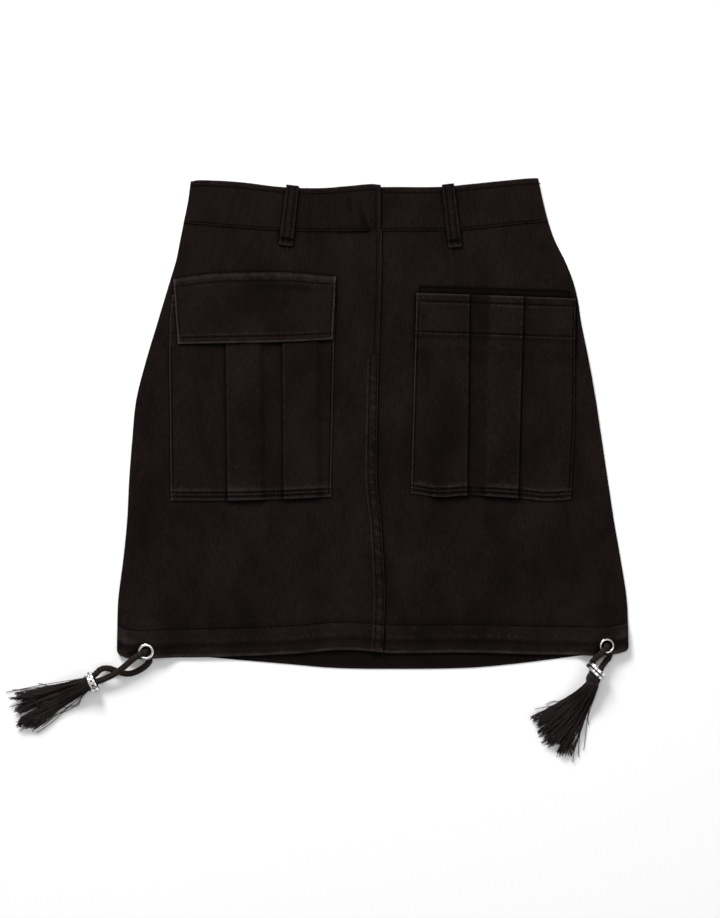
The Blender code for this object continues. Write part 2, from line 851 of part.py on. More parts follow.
def ring_bead(side):
    """A plain metal ring that both strands of the cord go through."""
    tassel = TASSELS[side]
    axis = heading(tassel.axis)
    half = BEAD_WIDTH / 2
    profile = (
        (BEAD_BORE, -half),
        (BEAD_BORE, half),
        (BEAD_RADIUS - 0.6, half),
        (BEAD_RADIUS, half - 0.7),
        (BEAD_RADIUS, 0.7 - half),
        (BEAD_RADIUS - 0.6, -half),
    )
    centre = Vector((tassel.x, tassel.y, BEAD_HEIGHT)) + axis * half
    turned_ring(f"ring_bead_{side}", profile, centre, axis, METAL_FINISH, 32)


def smooth_route(points, spacing):
    """Evenly spaced points of a smooth curve through a cord's route."""
    fine = []
    for i in range(len(points) - 1):
        before, start = points[max(i - 1, 0)], points[i]
        end, after = points[i + 1], points[min(i + 2, len(points) - 1)]
        for part in range(12):
            t = part / 12
            leave, arrive = (end - before) / 2, (after - start) / 2
            bend = leave * t * (1 - t) ** 2 - arrive * t * t * (1 - t)
            fine.append(start.lerp(end, step(t)) + bend)
    fine.append(points[-1])
    run = [0.0]
    for a, b in zip(fine, fine[1:]):
        run.append(run[-1] + (b - a).length)
    count = round(run[-1] / spacing)
    spaced, k = [], 0
    for i in range(count + 1):
        at = run[-1] * i / count
        while k < len(run) - 2 and run[k + 1] < at:
            k += 1
        spaced.append(fine[k].lerp(fine[k + 1], (at - run[k]) / (run[k + 1] - run[k])))
    return spaced


def cord(side):
    """The looped cord, from the bead through the eyelet and back."""
    points = smooth_route([Vector(point) for point in CORD_ROUTES[side]], CORD_SPACING)
    curve = bpy.data.curves.new(f"cord_{side}", "CURVE")
    curve.dimensions = "3D"
    curve.bevel_depth = CORD_RADIUS * MM
    curve.bevel_resolution = 2
    curve.use_fill_caps = True
    spline = curve.splines.new("POLY")
    spline.points.add(len(points) - 1)
    for target, point in zip(spline.points, points):
        target.co = (*(point * MM), 1)
    place(f"cord_{side}", curve, CORD_FINISH)


def end_disc():
    """Points of a unit disc in rings, and the triangles between them."""
    points = [Vector((0, 0))]
    starts = [0]
    for ring in range(1, STRAND_RINGS + 1):
        starts.append(len(points))
        for k in range(6 * ring):
            angle = math.tau * k / (6 * ring)
            points.append(Vector((math.cos(angle), math.sin(angle))) * ring / STRAND_RINGS)

    def at(ring, k):
        return starts[ring] + k % (6 * ring) if ring else 0

    triangles = []
    for ring in range(1, STRAND_RINGS + 1):
        for sector in range(6):
            for k in range(ring):
                out, back = sector * ring + k, sector * (ring - 1) + k
                triangles.append((at(ring, out), at(ring, out + 1), at(ring - 1, back)))
                if k < ring - 1:
                    triangles.append((at(ring - 1, back), at(ring, out + 1), at(ring - 1, back + 1)))
    return points, triangles, starts[-1]


def tassel(side):
    """A bound head that plugs the bead, and strands that grow from its end and fan out flat."""
    facts = TASSELS[side]
    axis = heading(facts.axis)
    across = Vector((axis.y, -axis.x, 0))
    up = Vector((0, 0, 1))
    entry = Vector((facts.x, facts.y, BEAD_HEIGHT))
    end = entry + axis * (BEAD_WIDTH + facts.head)
    bm = bmesh.new()

    def vertex(centre, u, v, radius):
        return bm.verts.new((centre + across * u * radius + up * v * radius) * MM)

    points, triangles, rim_start = end_disc()
    disc = [vertex(end, point.x, point.y, HEAD_RADIUS) for point in points]
    rim = disc[rim_start:]
    profile = (
        (facts.head * 0.45, HEAD_RADIUS + 0.5),
        (facts.head - 0.9, HEAD_RADIUS),
        (facts.head - 0.4, PLUG_RADIUS),
        (facts.head + BEAD_WIDTH / 2, PLUG_RADIUS),
    )
    for back, radius in profile:
        centre = end - axis * back
        ring = [vertex(centre, point.x, point.y, radius) for point in points[rim_start:]]
        for k in range(len(ring)):
            after = (k + 1) % len(ring)
            bm.faces.new((rim[k], rim[after], ring[after], ring[k]))
        rim = ring
    bm.faces.new(rim)
    for triangle in triangles:
        middle = sum((points[k] for k in triangle), Vector((0, 0))) / 3
        heading_here = heading(smooth(LOCKS[side], middle.x, "heading"))
        uneven = 1 - 0.05 * abs(math.sin(9 * middle.y + 5 * middle.x))
        reach = smooth(LOCKS[side], middle.x, "reach") * uneven
        root = end + across * middle.x * HEAD_RADIUS + up * middle.y * HEAD_RADIUS
        tip = end + across * middle.x * HEAD_RADIUS * 0.4 + heading_here * reach
        tip.z = FAN_LOWEST + FAN_THICKNESS * (middle.y + 1) / 2
        corners = [points[k] - middle for k in triangle]
        size = max(corner.length for corner in corners)
        ring = [disc[k] for k in triangle]
        for along, width, height in ((0.012, 0.0, 0.0), *STRAND_STEPS):
            centre = root.lerp(tip, along)
            centre.z = mix(root.z, tip.z, step(along / 0.5))
            if along < 0.05:
                ahead = [vertex(centre, c.x * 0.72, c.y * 0.72, HEAD_RADIUS) for c in corners]
            else:
                half_width = facts.strand * width / 2 / size
                half_height = STRAND_HEIGHT * height / 2 / size
                ahead = [
                    bm.verts.new((centre + across * c.x * half_width + up * c.y * half_height) * MM)
                    for c in corners
                ]
            for k in range(3):
                after = (k + 1) % 3
                bm.faces.new((ring[k], ring[after], ahead[after], ahead[k]))
            ring = ahead
        bm.faces.new(ring)
    place(f"tassel_{side}", mesh_of(f"tassel_{side}", bm), THREAD_FINISH)


for old in list(bpy.data.objects):
    bpy.data.objects.remove(old)
SKIRT = bpy.data.collections.new("Denim mini skirt")
CUTTERS = bpy.data.collections.new("Cutters")
for collection in (SKIRT, CUTTERS):
    bpy.context.scene.collection.children.link(collection)
DENIM_FINISH = material("black denim", DENIM)
METAL_FINISH = material("polished steel", METAL)
CORD_FINISH = material("braided cord", CORD)
THREAD_FINISH = material("tassel thread", THREAD)

waistbands()
flap_left()
flap_right()
for each_side in ("left", "right"):
    front_panel(each_side)
    back_panel(each_side)
    belt_loop(each_side)
    pocket(each_side)
    eyelet(each_side)
    ring_bead(each_side)
    cord(each_side)
    tassel(each_side)
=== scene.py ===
"""Looks of a black denim mini skirt with tasselled ties, lying flat with its front up.

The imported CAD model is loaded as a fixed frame. Each cloth solid is replaced by a finer shell on
the same form, with rounded edges, creases, seams and stitches, and each cord, bead, eyelet and
tassel by a detailed piece in the same place. Sizes are in millimetres in the row frame: +X to the
viewer's right, +Y to the waist, +Z up. Meshes are made in metres.
"""

from __future__ import annotations

import logging
import math
from dataclasses import dataclass, field
from enum import Enum
from typing import Callable, NamedTuple

import bpy
import numpy as np
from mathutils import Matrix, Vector

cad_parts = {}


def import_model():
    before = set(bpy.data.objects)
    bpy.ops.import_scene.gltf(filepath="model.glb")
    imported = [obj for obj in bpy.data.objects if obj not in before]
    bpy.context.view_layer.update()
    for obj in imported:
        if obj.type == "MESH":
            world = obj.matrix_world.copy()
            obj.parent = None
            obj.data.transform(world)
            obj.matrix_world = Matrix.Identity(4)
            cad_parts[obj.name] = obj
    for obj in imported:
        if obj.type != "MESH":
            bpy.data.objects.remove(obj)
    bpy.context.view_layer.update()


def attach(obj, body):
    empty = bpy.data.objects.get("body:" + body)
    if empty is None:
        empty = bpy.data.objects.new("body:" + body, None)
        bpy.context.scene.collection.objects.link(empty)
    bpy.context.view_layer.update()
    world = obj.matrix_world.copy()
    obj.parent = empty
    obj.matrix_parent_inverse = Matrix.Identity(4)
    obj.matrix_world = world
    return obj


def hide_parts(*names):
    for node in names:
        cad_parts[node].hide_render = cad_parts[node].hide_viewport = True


MM = 0.001
LOG = logging.getLogger("denim mini skirt")
Array = np.ndarray
Chance = np.random.Generator
Height = Callable[[Array, Array], Array]
Piece = bpy.types.Object
Socket = bpy.types.NodeSocket
Point = tuple[float, float]
Pairs = tuple[Point, ...]
Route = tuple[tuple[float, float, float], ...]
Colour = tuple[float, float, float]
Scale = tuple[float, float, float]


# Curves and forms


def ease(share: Array) -> Array:
    """0 below 0, 1 above 1, and smooth between."""
    t = np.clip(share, 0.0, 1.0)
    return t * t * (3 - 2 * t)


def mix(start: Array, end: Array, share: Array) -> Array:
    """The value at this share of the way from start to end."""
    return start + (end - start) * share


def bump(distance: Array, width: Array) -> Array:
    """A soft ridge of height 1 at distance 0, a third as high at its width."""
    return np.exp(-((distance / width) ** 2))


def ripple(place: Array, length: float, seed: float) -> Array:
    """An uneven wave from -1 to 1, the same on each run.

    Args:
        place: Where on the line, in millimetres.
        length: The usual length of a wave, in millimetres.
        seed: A number that sets one wave apart from another.

    Returns:
        The wave's height at each place.
    """
    t = place * (math.tau / length)
    wave = np.sin(t + 1.7 * seed) + 0.7 * np.sin(0.61 * t + 4.1 * seed) + 0.5 * np.sin(1.73 * t + 2.9 * seed)
    return wave / 2.2


class Side(Enum):
    """One half of the skirt, as the viewer sees it. The value is the way inwards along X."""

    LEFT = 1
    RIGHT = -1

    @property
    def label(self) -> str:
        """The side's part of a node's name."""
        return self.name.lower()


@dataclass(frozen=True)
class Profile:
    """A smooth curve through a short table of places and values."""

    table: Pairs

    def at(self, place: Array) -> Array:
        """The curve's value at each place.

        Args:
            place: Places along the table's first column.

        Returns:
            Values between those of the second column.
        """
        places, values = np.array(self.table, float).T
        last = len(places) - 1
        low, high = np.maximum(np.arange(last + 1) - 1, 0), np.minimum(np.arange(last + 1) + 1, last)
        slopes = (values[high] - values[low]) / (places[high] - places[low])
        at = np.clip(place, places[0], places[-1])
        k = np.clip(np.searchsorted(places, at, side="right") - 1, 0, last - 1)
        span = places[k + 1] - places[k]
        t = (at - places[k]) / span
        bend = slopes[k] * t * (1 - t) ** 2 - slopes[k + 1] * t * t * (1 - t)
        return mix(values[k], values[k + 1], ease(t)) + span * bend


@dataclass(frozen=True)
class Ridge:
    """A soft ridge in cloth, or a trough where its height is below 0. Its ends may sweep aside."""

    x: float
    y: float
    heading: float
    length: float
    width: float
    height: float
    sweep: float = 0.0

    def rise(self, x: Array, y: Array) -> Array:
        """How much it lifts the cloth at each place.

        Args:
            x: Places across the skirt, in mm.
            y: Places up the skirt, in mm.

        Returns:
            The lift at each place, in mm.
        """
        turn = math.radians(self.heading)
        dx, dy = x - self.x, y - self.y
        along = (dx * math.cos(turn) + dy * math.sin(turn)) / self.length
        aside = dy * math.cos(turn) - dx * math.sin(turn) - self.sweep * along * along
        return self.height * np.exp(-(along**2) - (aside / self.width) ** 2)


class Seat(NamedTuple):
    """Where an eyelet is set: its centre, and the fall of the cloth there towards +X."""

    x: float
    y: float
    z: float
    slope: float

    @property
    def normal(self) -> Vector:
        """The way the cloth faces under the eyelet."""
        return Vector((-self.slope, 0, 1)).normalized()


@dataclass(frozen=True)
class SkirtForm:
    """The skirt's outline and the lie of its front, with the sizes that its pieces share."""

    cloth: float = 1.2
    double: float = 2.4
    gap: float = 0.3
    hem_depth: float = 25.0
    hem_step: float = 5.0
    panel_length: float = 404.0
    under_band: float = 0.8
    seat_flat: float = 11.0
    seat_reach: float = 32.0
    left_side: Profile = Profile(
        (
            (-234, -243.4), (-206, -243.0), (-168, -242.0), (-130, -237.3), (-92, -233.5),
            (-54, -231.6), (-16, -228.7), (22, -224.9), (60, -215.4), (98, -204.0), (117, -198.3),
            (136, -192.6), (155, -186.9), (174, -183.1), (193, -179.3), (212, -175.5), (234, -172.6),
        )
    )
    right_side: Profile = Profile(
        (
            (-234, 243.4), (-206, 242.9), (-168, 241.5), (-130, 235.8), (-92, 229.2), (-54, 223.5),
            (-16, 217.8), (22, 212.1), (60, 205.4), (98, 197.8), (117, 195.0), (136, 190.2),
            (155, 182.6), (174, 173.1), (193, 166.5), (212, 161.7), (234, 156.9),
        )
    )
    waist_left: Profile = Profile(
        (
            (-176, 229.8), (-164, 231.3), (-126, 229.4), (-88, 224.9), (-52, 223.7), (-22, 225.6),
            (-2, 227.4), (8, 226.6),
        )
    )
    waist_right: Profile = Profile(
        (
            (-32, 222.8), (7, 224.7), (64, 224.9), (92, 227.5), (111, 229.4), (130, 231.3),
            (149, 233.0), (160, 233.2),
        )
    )
    waist_seam: Profile = Profile(
        (
            (-182, 190.8), (-136, 186.8), (-88, 183.6), (-41, 182.6), (27, 183.2), (70, 183.4),
            (100, 185.3), (134, 189.2), (168, 192.0),
        )
    )
    front_hem: Profile = Profile(
        (
            (-243, -219.3), (-234, -222.4), (-215, -223.7), (-202, -222.6), (-145, -221.8),
            (-69, -218.6), (-33, -215.2), (-1, -216.6), (18, -218.4), (90, -217.8), (158, -219.5),
            (222, -219.7), (243, -216.1),
        )
    )
    back_hem: Profile = Profile(
        (
            (-243, -217.5), (-215, -220.5), (-174, -221.0), (-128, -224.7), (-82, -228.5),
            (-37, -232.3), (20, -233.2), (89, -232.3), (134, -228.5), (180, -222.8), (203, -219.9),
            (243, -215.0),
        )
    )
    centre_front: Profile = Profile(
        (
            (-217, 9.5), (-187, 11.2), (-158, 11.6), (-96, 8.3), (-54, 4.0), (22, 5.0), (62, 5.9),
            (136, 8.3), (184, 8.8),
        )
    )
    edge_roll: Pairs = (
        (0.0, 0.0), (0.0, 0.2), (0.02, 0.4), (0.08, 0.56), (0.2, 0.7), (0.42, 0.82), (0.8, 0.91), (1.5, 0.98),
        (2.6, 1.0),
    )
    folds: tuple[Ridge, ...] = (
        Ridge(-34, -214, 90, 42, 13, 1.8),
        Ridge(-120, -150, 78, 70, 26, 0.9),
        Ridge(110, -140, 98, 80, 28, 0.9),
        Ridge(-215, 60, 108, 90, 9, 1.0),
        Ridge(203, 40, 78, 90, 9, 1.0),
    )
    seats: tuple[Seat, Seat] = (Seat(-214.9, -216.3, 11.0, 0.0), Seat(221.9, -210.7, 11.3, -0.1))

    @property
    def front_base(self) -> float:
        """Underside of the front, on top of the back."""
        return self.cloth + self.gap

    def seat(self, side: Side) -> Seat:
        """The eyelet's seat on one side."""
        return self.seats[0 if side is Side.LEFT else 1]

    def side_edge(self, side: Side) -> Profile:
        """The outline on one side."""
        return self.left_side if side is Side.LEFT else self.right_side

    def front_wall(self, x: Array, y: Array) -> Array:
        """Thickness of the front, which the hem's turn-up doubles.

        Args:
            x: Places across the skirt, in mm.
            y: Places up the skirt, in mm.

        Returns:
            The thickness at each place, in mm.
        """
        above_hem = y - self.front_hem.at(x)
        single = ease((above_hem - self.hem_depth + self.hem_step) / self.hem_step)
        return mix(self.double, self.cloth, single)

    def lift_to_seats(self, x: Array, y: Array, top: Array) -> Array:
        """The front's upper side, lifted where each eyelet holds it up.

        Args:
            x: Places across the skirt, in mm.
            y: Places up the skirt, in mm.
            top: The upper side's height without the eyelets.

        Returns:
            The height with them.
        """
        for seat in self.seats:
            away = np.hypot(x - seat.x, y - seat.y)
            held = 1 - ease((away - self.seat_flat) / (self.seat_reach - self.seat_flat))
            top = mix(top, seat.z + seat.slope * (x - seat.x), held)
        return top

    def front_top(self, x: Array, y: Array) -> Array:
        """Height of the front's upper side.

        Args:
            x: Places across the skirt, in mm.
            y: Places up the skirt, in mm.

        Returns:
            The height at each place, in mm.
        """
        top = self.front_base + self.front_wall(x, y)
        for fold in self.folds:
            top = top + fold.rise(x, y)
        return self.lift_to_seats(x, y, top)

    def turn_down(self, side: Side, x: Array, top: Array, under: Array) -> Array:
        """Rolls a piece's first columns down to the floor at its side seam.

        Args:
            side: The half of the skirt that the piece is on.
            x: The outer skin's places across.
            top: The outer skin's heights, which change.
            under: The inner skin's heights, which change.

        Returns:
            The inner skin's places across.
        """
        count = len(self.edge_roll)
        top[:, :count] = top[:, count][:, None] * np.array([share for _, share in self.edge_roll])
        under[:, :count] = under[:, count][:, None] * np.linspace(0, 1, count) ** 0.7
        inner_x = x.copy()
        inner_x[:, :count] += side.value * np.linspace(self.cloth * 0.8, 0.0, count)
        return inner_x


def settle(height: Height, edge: Profile) -> Array:
    """Where a row of the cloth meets an upright edge.

    Args:
        height: The row's height on the skirt at a place along X.
        edge: The edge, as X at each height.

    Returns:
        The place along X.
    """
    place = np.array(0.0)
    for _ in range(4):
        place = edge.at(height(place))
    return place


FORM = SkirtForm()
Holes = tuple[tuple[Seat, float], ...]


# Finishes


class Shade:
    """A material's or a group's node tree, with short calls to add and link nodes."""

    def __init__(self, tree: bpy.types.NodeTree) -> None:
        """Keeps the tree to add to."""
        self.tree = tree

    def add(self, kind: str, **settings: object) -> bpy.types.Node:
        """A new node.

        Args:
            kind: The node's type name, without its ShaderNode prefix.
            settings: Properties to set on it.

        Returns:
            The node.
        """
        node = self.tree.nodes.new(f"ShaderNode{kind}")
        for name, value in settings.items():
            setattr(node, name, value)
        return node

    def feed(self, source: object, target: Socket) -> None:
        """Links a socket to the target, or sets a plain value on it.

        Args:
            source: A socket, or a plain value.
            target: The input that it goes into.
        """
        if isinstance(source, Socket):
            self.tree.links.new(source, target)
        else:
            target.default_value = source

    def math(self, operation: str, first: object, second: object = 0.0, clamp: bool = False) -> Socket:
        """The result of a sum on two values or sockets.

        Args:
            operation: The sum's name in Blender.
            first: The first value or socket.
            second: The second value or socket.
            clamp: Whether the result is kept between 0 and 1.

        Returns:
            The result.
        """
        node = self.add("Math", operation=operation, use_clamp=clamp)
        self.feed(first, node.inputs[0])
        self.feed(second, node.inputs[1])
        return node.outputs[0]

    def stretched(self, vector: Socket, scale: Scale, turn: float = 0.0) -> Socket:
        """Coordinates that are scaled along each axis, after a turn about Z in degrees.

        Args:
            vector: The coordinates.
            scale: The factor along each axis.
            turn: The turn about Z, in degrees.

        Returns:
            The new coordinates.
        """
        node = self.add("Mapping")
        node.inputs["Rotation"].default_value = (0, 0, math.radians(turn))
        node.inputs["Scale"].default_value = scale
        self.feed(vector, node.inputs["Vector"])
        return node.outputs[0]

    def noise(self, vector: object, scale: float, detail: float = 3.0, rough: float = 0.5) -> Socket:
        """A noise from 0 to 1 over the coordinates.

        Args:
            vector: The coordinates.
            scale: How fine the noise is.
            detail: Its number of octaves.
            rough: How strong the finer octaves are.

        Returns:
            The noise.
        """
        node = self.add("TexNoise")
        self.feed(vector, node.inputs["Vector"])
        node.inputs["Scale"].default_value = scale
        node.inputs["Detail"].default_value = detail
        node.inputs["Roughness"].default_value = rough
        return node.outputs["Fac"]

    def wave(self, vector: object, period: float, wobble: float = 0.0) -> Socket:
        """Bands along X with this period in metres, from 0 to 1.

        Args:
            vector: The coordinates, in metres.
            period: The distance from band to band.
            wobble: How much the bands are distorted.

        Returns:
            The bands.
        """
        node = self.add("TexWave", bands_direction="X")
        self.feed(vector, node.inputs["Vector"])
        node.inputs["Scale"].default_value = math.tau / (20 * period)
        node.inputs["Distortion"].default_value = wobble
        node.inputs["Detail"].default_value = 1.0
        return node.outputs["Fac"]

    def colour_mix(self, first: object, second: object, share: object) -> Socket:
        """A mix of two colours.

        Args:
            first: The colour at a share of 0.
            second: The colour at a share of 1.
            share: How much of the second.

        Returns:
            The mixed colour.
        """
        node = self.add("Mix", data_type="RGBA")
        self.feed(share, node.inputs["Factor"])
        self.feed(first, node.inputs[6])
        self.feed(second, node.inputs[7])
        return node.outputs[2]


def effect_group(name: str, inputs: tuple[tuple[str, str, float], ...], outputs: tuple[str, ...]) -> Shade:
    """An empty node group for an effect that several materials share.

    Args:
        name: The group's name.
        inputs: Each input's name, socket type and default value.
        outputs: The names of the values that it puts out.

    Returns:
        The group's tree, with its input and output nodes named "in" and "out".
    """
    tree = bpy.data.node_groups.new(name, "ShaderNodeTree")
    for label, kind, value in inputs:
        socket = tree.interface.new_socket(label, in_out="INPUT", socket_type=kind)
        if kind == "NodeSocketFloat":
            socket.default_value = value
    for label in outputs:
        tree.interface.new_socket(label, in_out="OUTPUT", socket_type="NodeSocketFloat")
    tree.nodes.new("NodeGroupInput").name = "in"
    tree.nodes.new("NodeGroupOutput").name = "out"
    return Shade(tree)


VECTOR, NUMBER = "NodeSocketVector", "NodeSocketFloat"


def twill_group() -> bpy.types.NodeTree:
    """Denim's diagonal ribs with uneven, slubby warp threads: a height and a tone, 0 to 1.

    Returns:
        The node group.
    """
    shade = effect_group("twill weave", (("Place", VECTOR, 0), ("Slub", NUMBER, 0.5)), ("Height", "Tone"))
    entry, out = shade.tree.nodes["in"], shade.tree.nodes["out"]
    place, slub = entry.outputs["Place"], entry.outputs["Slub"]
    ribs = shade.wave(shade.stretched(place, (1, 1, 1), turn=-52), 0.0011, wobble=0.6)
    warp = shade.wave(shade.stretched(place, (1, 1, 1)), 0.0008, wobble=0.4)
    streaks = shade.noise(shade.stretched(place, (1, 0.2, 1)), 900, 2.0, 0.6)
    fuzz = shade.noise(place, 1500, 2.0, 0.6)
    height = shade.math("ADD", shade.math("MULTIPLY", ribs, 0.6), shade.math("MULTIPLY", warp, 0.2))
    height = shade.math("ADD", height, shade.math("MULTIPLY", streaks, slub))
    shade.feed(shade.math("ADD", height, shade.math("MULTIPLY", fuzz, 0.5)), out.inputs["Height"])
    tone = shade.math("ADD", shade.math("MULTIPLY", streaks, 1.6), shade.math("MULTIPLY", fuzz, 3.2))
    shade.feed(shade.math("SUBTRACT", tone, 1.95, clamp=True), out.inputs["Tone"])
    return shade.tree


def wear_group() -> bpy.types.NodeTree:
    """Rubbed edges, broken up by noise, from the mesh's values of rubbing and painted shade; the painted
    shade below 0 is mostly cut off here.

    Returns:
        The node group.
    """
    inputs = (("Place", VECTOR, 0), ("Worn", NUMBER, 0), ("Breakup", NUMBER, 0.4))
    shade = effect_group("edge wear", inputs, ("Mask",))
    entry, out = shade.tree.nodes["in"], shade.tree.nodes["out"]
    patches = shade.noise(entry.outputs["Place"], 260, 4.0, 0.65)
    loss = shade.math("MULTIPLY", shade.math("SUBTRACT", 0.62, patches), entry.outputs["Breakup"])
    mask = shade.math("SUBTRACT", entry.outputs["Worn"], loss, clamp=True)
    shade.feed(mask, out.inputs["Mask"])
    return shade.tree


def twist_group() -> bpy.types.NodeTree:
    """The plies of a twisted thread or braid: a height and a tone, 0 to 1.

    Returns:
        The node group.
    """
    shade = effect_group("twisted plies", (("Place", VECTOR, 0), ("Depth", NUMBER, 1.0)), ("Height", "Tone"))
    entry, out = shade.tree.nodes["in"], shade.tree.nodes["out"]
    place = entry.outputs["Place"]
    plies = shade.wave(shade.stretched(place, (1, 1, 1), turn=40), 0.0012, wobble=1.5)
    crossing = shade.wave(shade.stretched(place, (1, 1, 1), turn=-40), 0.0012, wobble=1.5)
    fibres = shade.noise(place, 2200, 2.0, 0.6)
    height = shade.math("ADD", shade.math("MULTIPLY", plies, 0.5), shade.math("MULTIPLY", crossing, 0.3))
    height = shade.math("ADD", height, shade.math("MULTIPLY", fibres, 0.4))
    shade.feed(shade.math("MULTIPLY", height, entry.outputs["Depth"]), out.inputs["Height"])
    shade.feed(fibres, out.inputs["Tone"])
    return shade.tree


class Effects(Enum):
    """The effects that more than one material uses, each built once."""

    TWILL = "twill weave"
    WEAR = "edge wear"
    TWIST = "twisted plies"

    def place(self, shade: Shade, **values: object) -> bpy.types.Node:
        """The effect's group in a material, with its own values.

        Args:
            shade: The material's tree.
            values: A socket or number for each input, with its name in lower case.

        Returns:
            The group node.
        """
        makers = {"twill weave": twill_group, "edge wear": wear_group, "twisted plies": twist_group}
        tree = bpy.data.node_groups.get(self.value) or makers[self.value]()
        node = shade.add("Group", node_tree=tree)
        for name, value in values.items():
            shade.feed(value, node.inputs[name.capitalize()])
        return node


def painted(colour: Colour) -> tuple[float, float, float, float]:
    """The colour as a shader socket takes it."""
    return (*colour, 1.0)


def new_material(
    name: str, roughness: float, specular: float
) -> tuple[bpy.types.Material, Shade, bpy.types.Node]:
    """A material with its shader's plain values.

    Args:
        name: The material's name.
        roughness: The shader's roughness.
        specular: The shader's specular level, 0.5 for plain plastics and glass.

    Returns:
        The material, its tree and its Principled BSDF.
    """
    made = bpy.data.materials.new(name)
    made.use_nodes = True
    shader = made.node_tree.nodes["Principled BSDF"]
    shader.inputs["Roughness"].default_value = roughness
    shader.inputs["Specular IOR Level"].default_value = specular
    return made, Shade(made.node_tree), shader


def relief(shade: Shade, shader: bpy.types.Node, height: object, depth: float) -> None:
    """Bumps the surface by a height in metres times this depth.

    Args:
        shade: The material's tree.
        shader: The shader whose surface is bumped.
        height: The height, from 0 to 1.
        depth: What a height of 1 is, in metres.
    """
    node = shade.add("Bump")
    node.inputs["Distance"].default_value = depth
    node.inputs["Strength"].default_value = 1.0
    shade.feed(height, node.inputs["Height"])
    shade.feed(node.outputs[0], shader.inputs["Normal"])


@dataclass(frozen=True)
class Denim:
    """Black denim, paler where it is rubbed, with painted shade in hollows and shaded places."""

    name: str = "black denim"
    colour: Colour = (0.0050, 0.0032, 0.0030)
    rubbed: Colour = (0.046, 0.036, 0.032)
    # The near-black colour of painted shade, laid into hollows and shaded places, and how far the occlusion
    # looks for nearby cloth.
    painted_shade: Colour = (0.0010, 0.0007, 0.0006)
    painted_shade_reach: float = 0.010
    roughness: float = 0.85
    specular: float = 0.03
    sheen: float = 0.006
    weave_depth: float = 0.00022
    slub: float = 0.7

    def make(self) -> bpy.types.Material:
        """Builds the material.

        Returns:
            The material.
        """
        made, shade, shader = new_material(self.name, self.roughness, self.specular)
        shader.inputs["Sheen Weight"].default_value = self.sheen
        shader.inputs["Sheen Roughness"].default_value = 0.45
        place = shade.add("TexCoord").outputs["Object"]
        weave = Effects.TWILL.place(shade, place=place, slub=self.slub)
        worn = shade.add("Attribute", attribute_name="worn").outputs["Fac"]
        wear = Effects.WEAR.place(shade, place=place, worn=worn, breakup=0.6)
        pale = tuple(value * 3.0 for value in self.colour)
        cloth = shade.colour_mix(painted(self.colour), painted(pale), weave.outputs["Tone"])
        cloud = shade.noise(shade.stretched(place, (1, 0.6, 1)), 22, 4.0, 0.6)
        dark = tuple(value * 0.6 for value in self.colour)
        cloud = shade.math("MULTIPLY", shade.math("SUBTRACT", cloud, 0.36), 2.2, clamp=True)
        cloth = shade.colour_mix(cloth, painted(dark), cloud)
        # Painted shade: an ambient-occlusion mask darkens the cloth towards the painted shade colour in
        # hollows, at steps and under folds, and the mesh's values below 0 darken it the same way.
        closed = shade.add("AmbientOcclusion", samples=8)
        closed.inputs["Distance"].default_value = self.painted_shade_reach
        depth = shade.math("MULTIPLY", shade.math("SUBTRACT", 0.95, closed.outputs["AO"]), 3.2, clamp=True)
        painted_shade_mask = shade.math("MAXIMUM", depth, shade.math("MULTIPLY", worn, -1.0, clamp=True))
        cloth = shade.colour_mix(cloth, painted(self.painted_shade), painted_shade_mask)
        colour = shade.colour_mix(cloth, painted(self.rubbed), wear.outputs["Mask"])
        shade.feed(colour, shader.inputs["Base Color"])
        relief(shade, shader, weave.outputs["Height"], self.weave_depth)
        return made


@dataclass(frozen=True)
class Yarn:
    """Sewing thread, braid or tassel thread: fine plies with a soft shine."""

    name: str
    colour: Colour
    light: Colour
    roughness: float
    specular: float
    depth: float = 0.00015
    sheen: float = 0.0

    def make(self) -> bpy.types.Material:
        """Builds the material.

        Returns:
            The material.
        """
        made, shade, shader = new_material(self.name, self.roughness, self.specular)
        shader.inputs["Sheen Weight"].default_value = self.sheen
        place = shade.add("TexCoord").outputs["Object"]
        plies = Effects.TWIST.place(shade, place=place, depth=1.0)
        worn = shade.add("Attribute", attribute_name="worn").outputs["Fac"]
        wear = Effects.WEAR.place(shade, place=place, worn=worn, breakup=0.2)
        tone = shade.math("MULTIPLY", plies.outputs["Tone"], 0.5)
        tone = shade.math("ADD", tone, shade.math("MULTIPLY", wear.outputs["Mask"], 0.6), clamp=True)
        colour = shade.colour_mix(painted(self.colour), painted(self.light), tone)
        shade.feed(colour, shader.inputs["Base Color"])
        relief(shade, shader, plies.outputs["Height"], self.depth)
        return made


@dataclass(frozen=True)
class Metal:
    """Polished metal with faint scratches and duller patches."""

    name: str
    colour: Colour
    roughness: float

    def make(self) -> bpy.types.Material:
        """Builds the material.

        Returns:
            The material.
        """
        made, shade, shader = new_material(self.name, self.roughness, 0.5)
        shader.inputs["Metallic"].default_value = 1.0
        place = shade.add("TexCoord").outputs["Object"]
        scratches = shade.noise(shade.stretched(place, (1, 12, 4), turn=20), 500, 3.0, 0.7)
        patches = shade.noise(place, 180, 3.0, 0.5)
        dull = shade.math("MULTIPLY", patches, 0.22)
        shade.feed(shade.math("ADD", dull, self.roughness - 0.06), shader.inputs["Roughness"])
        duller = tuple(value * 0.8 for value in self.colour)
        colour = shade.colour_mix(painted(self.colour), painted(duller), scratches)
        shade.feed(colour, shader.inputs["Base Color"])
        relief(shade, shader, scratches, 0.00002)
        return made


DYED_BLACK: Colour = (0.0016, 0.0010, 0.0009)


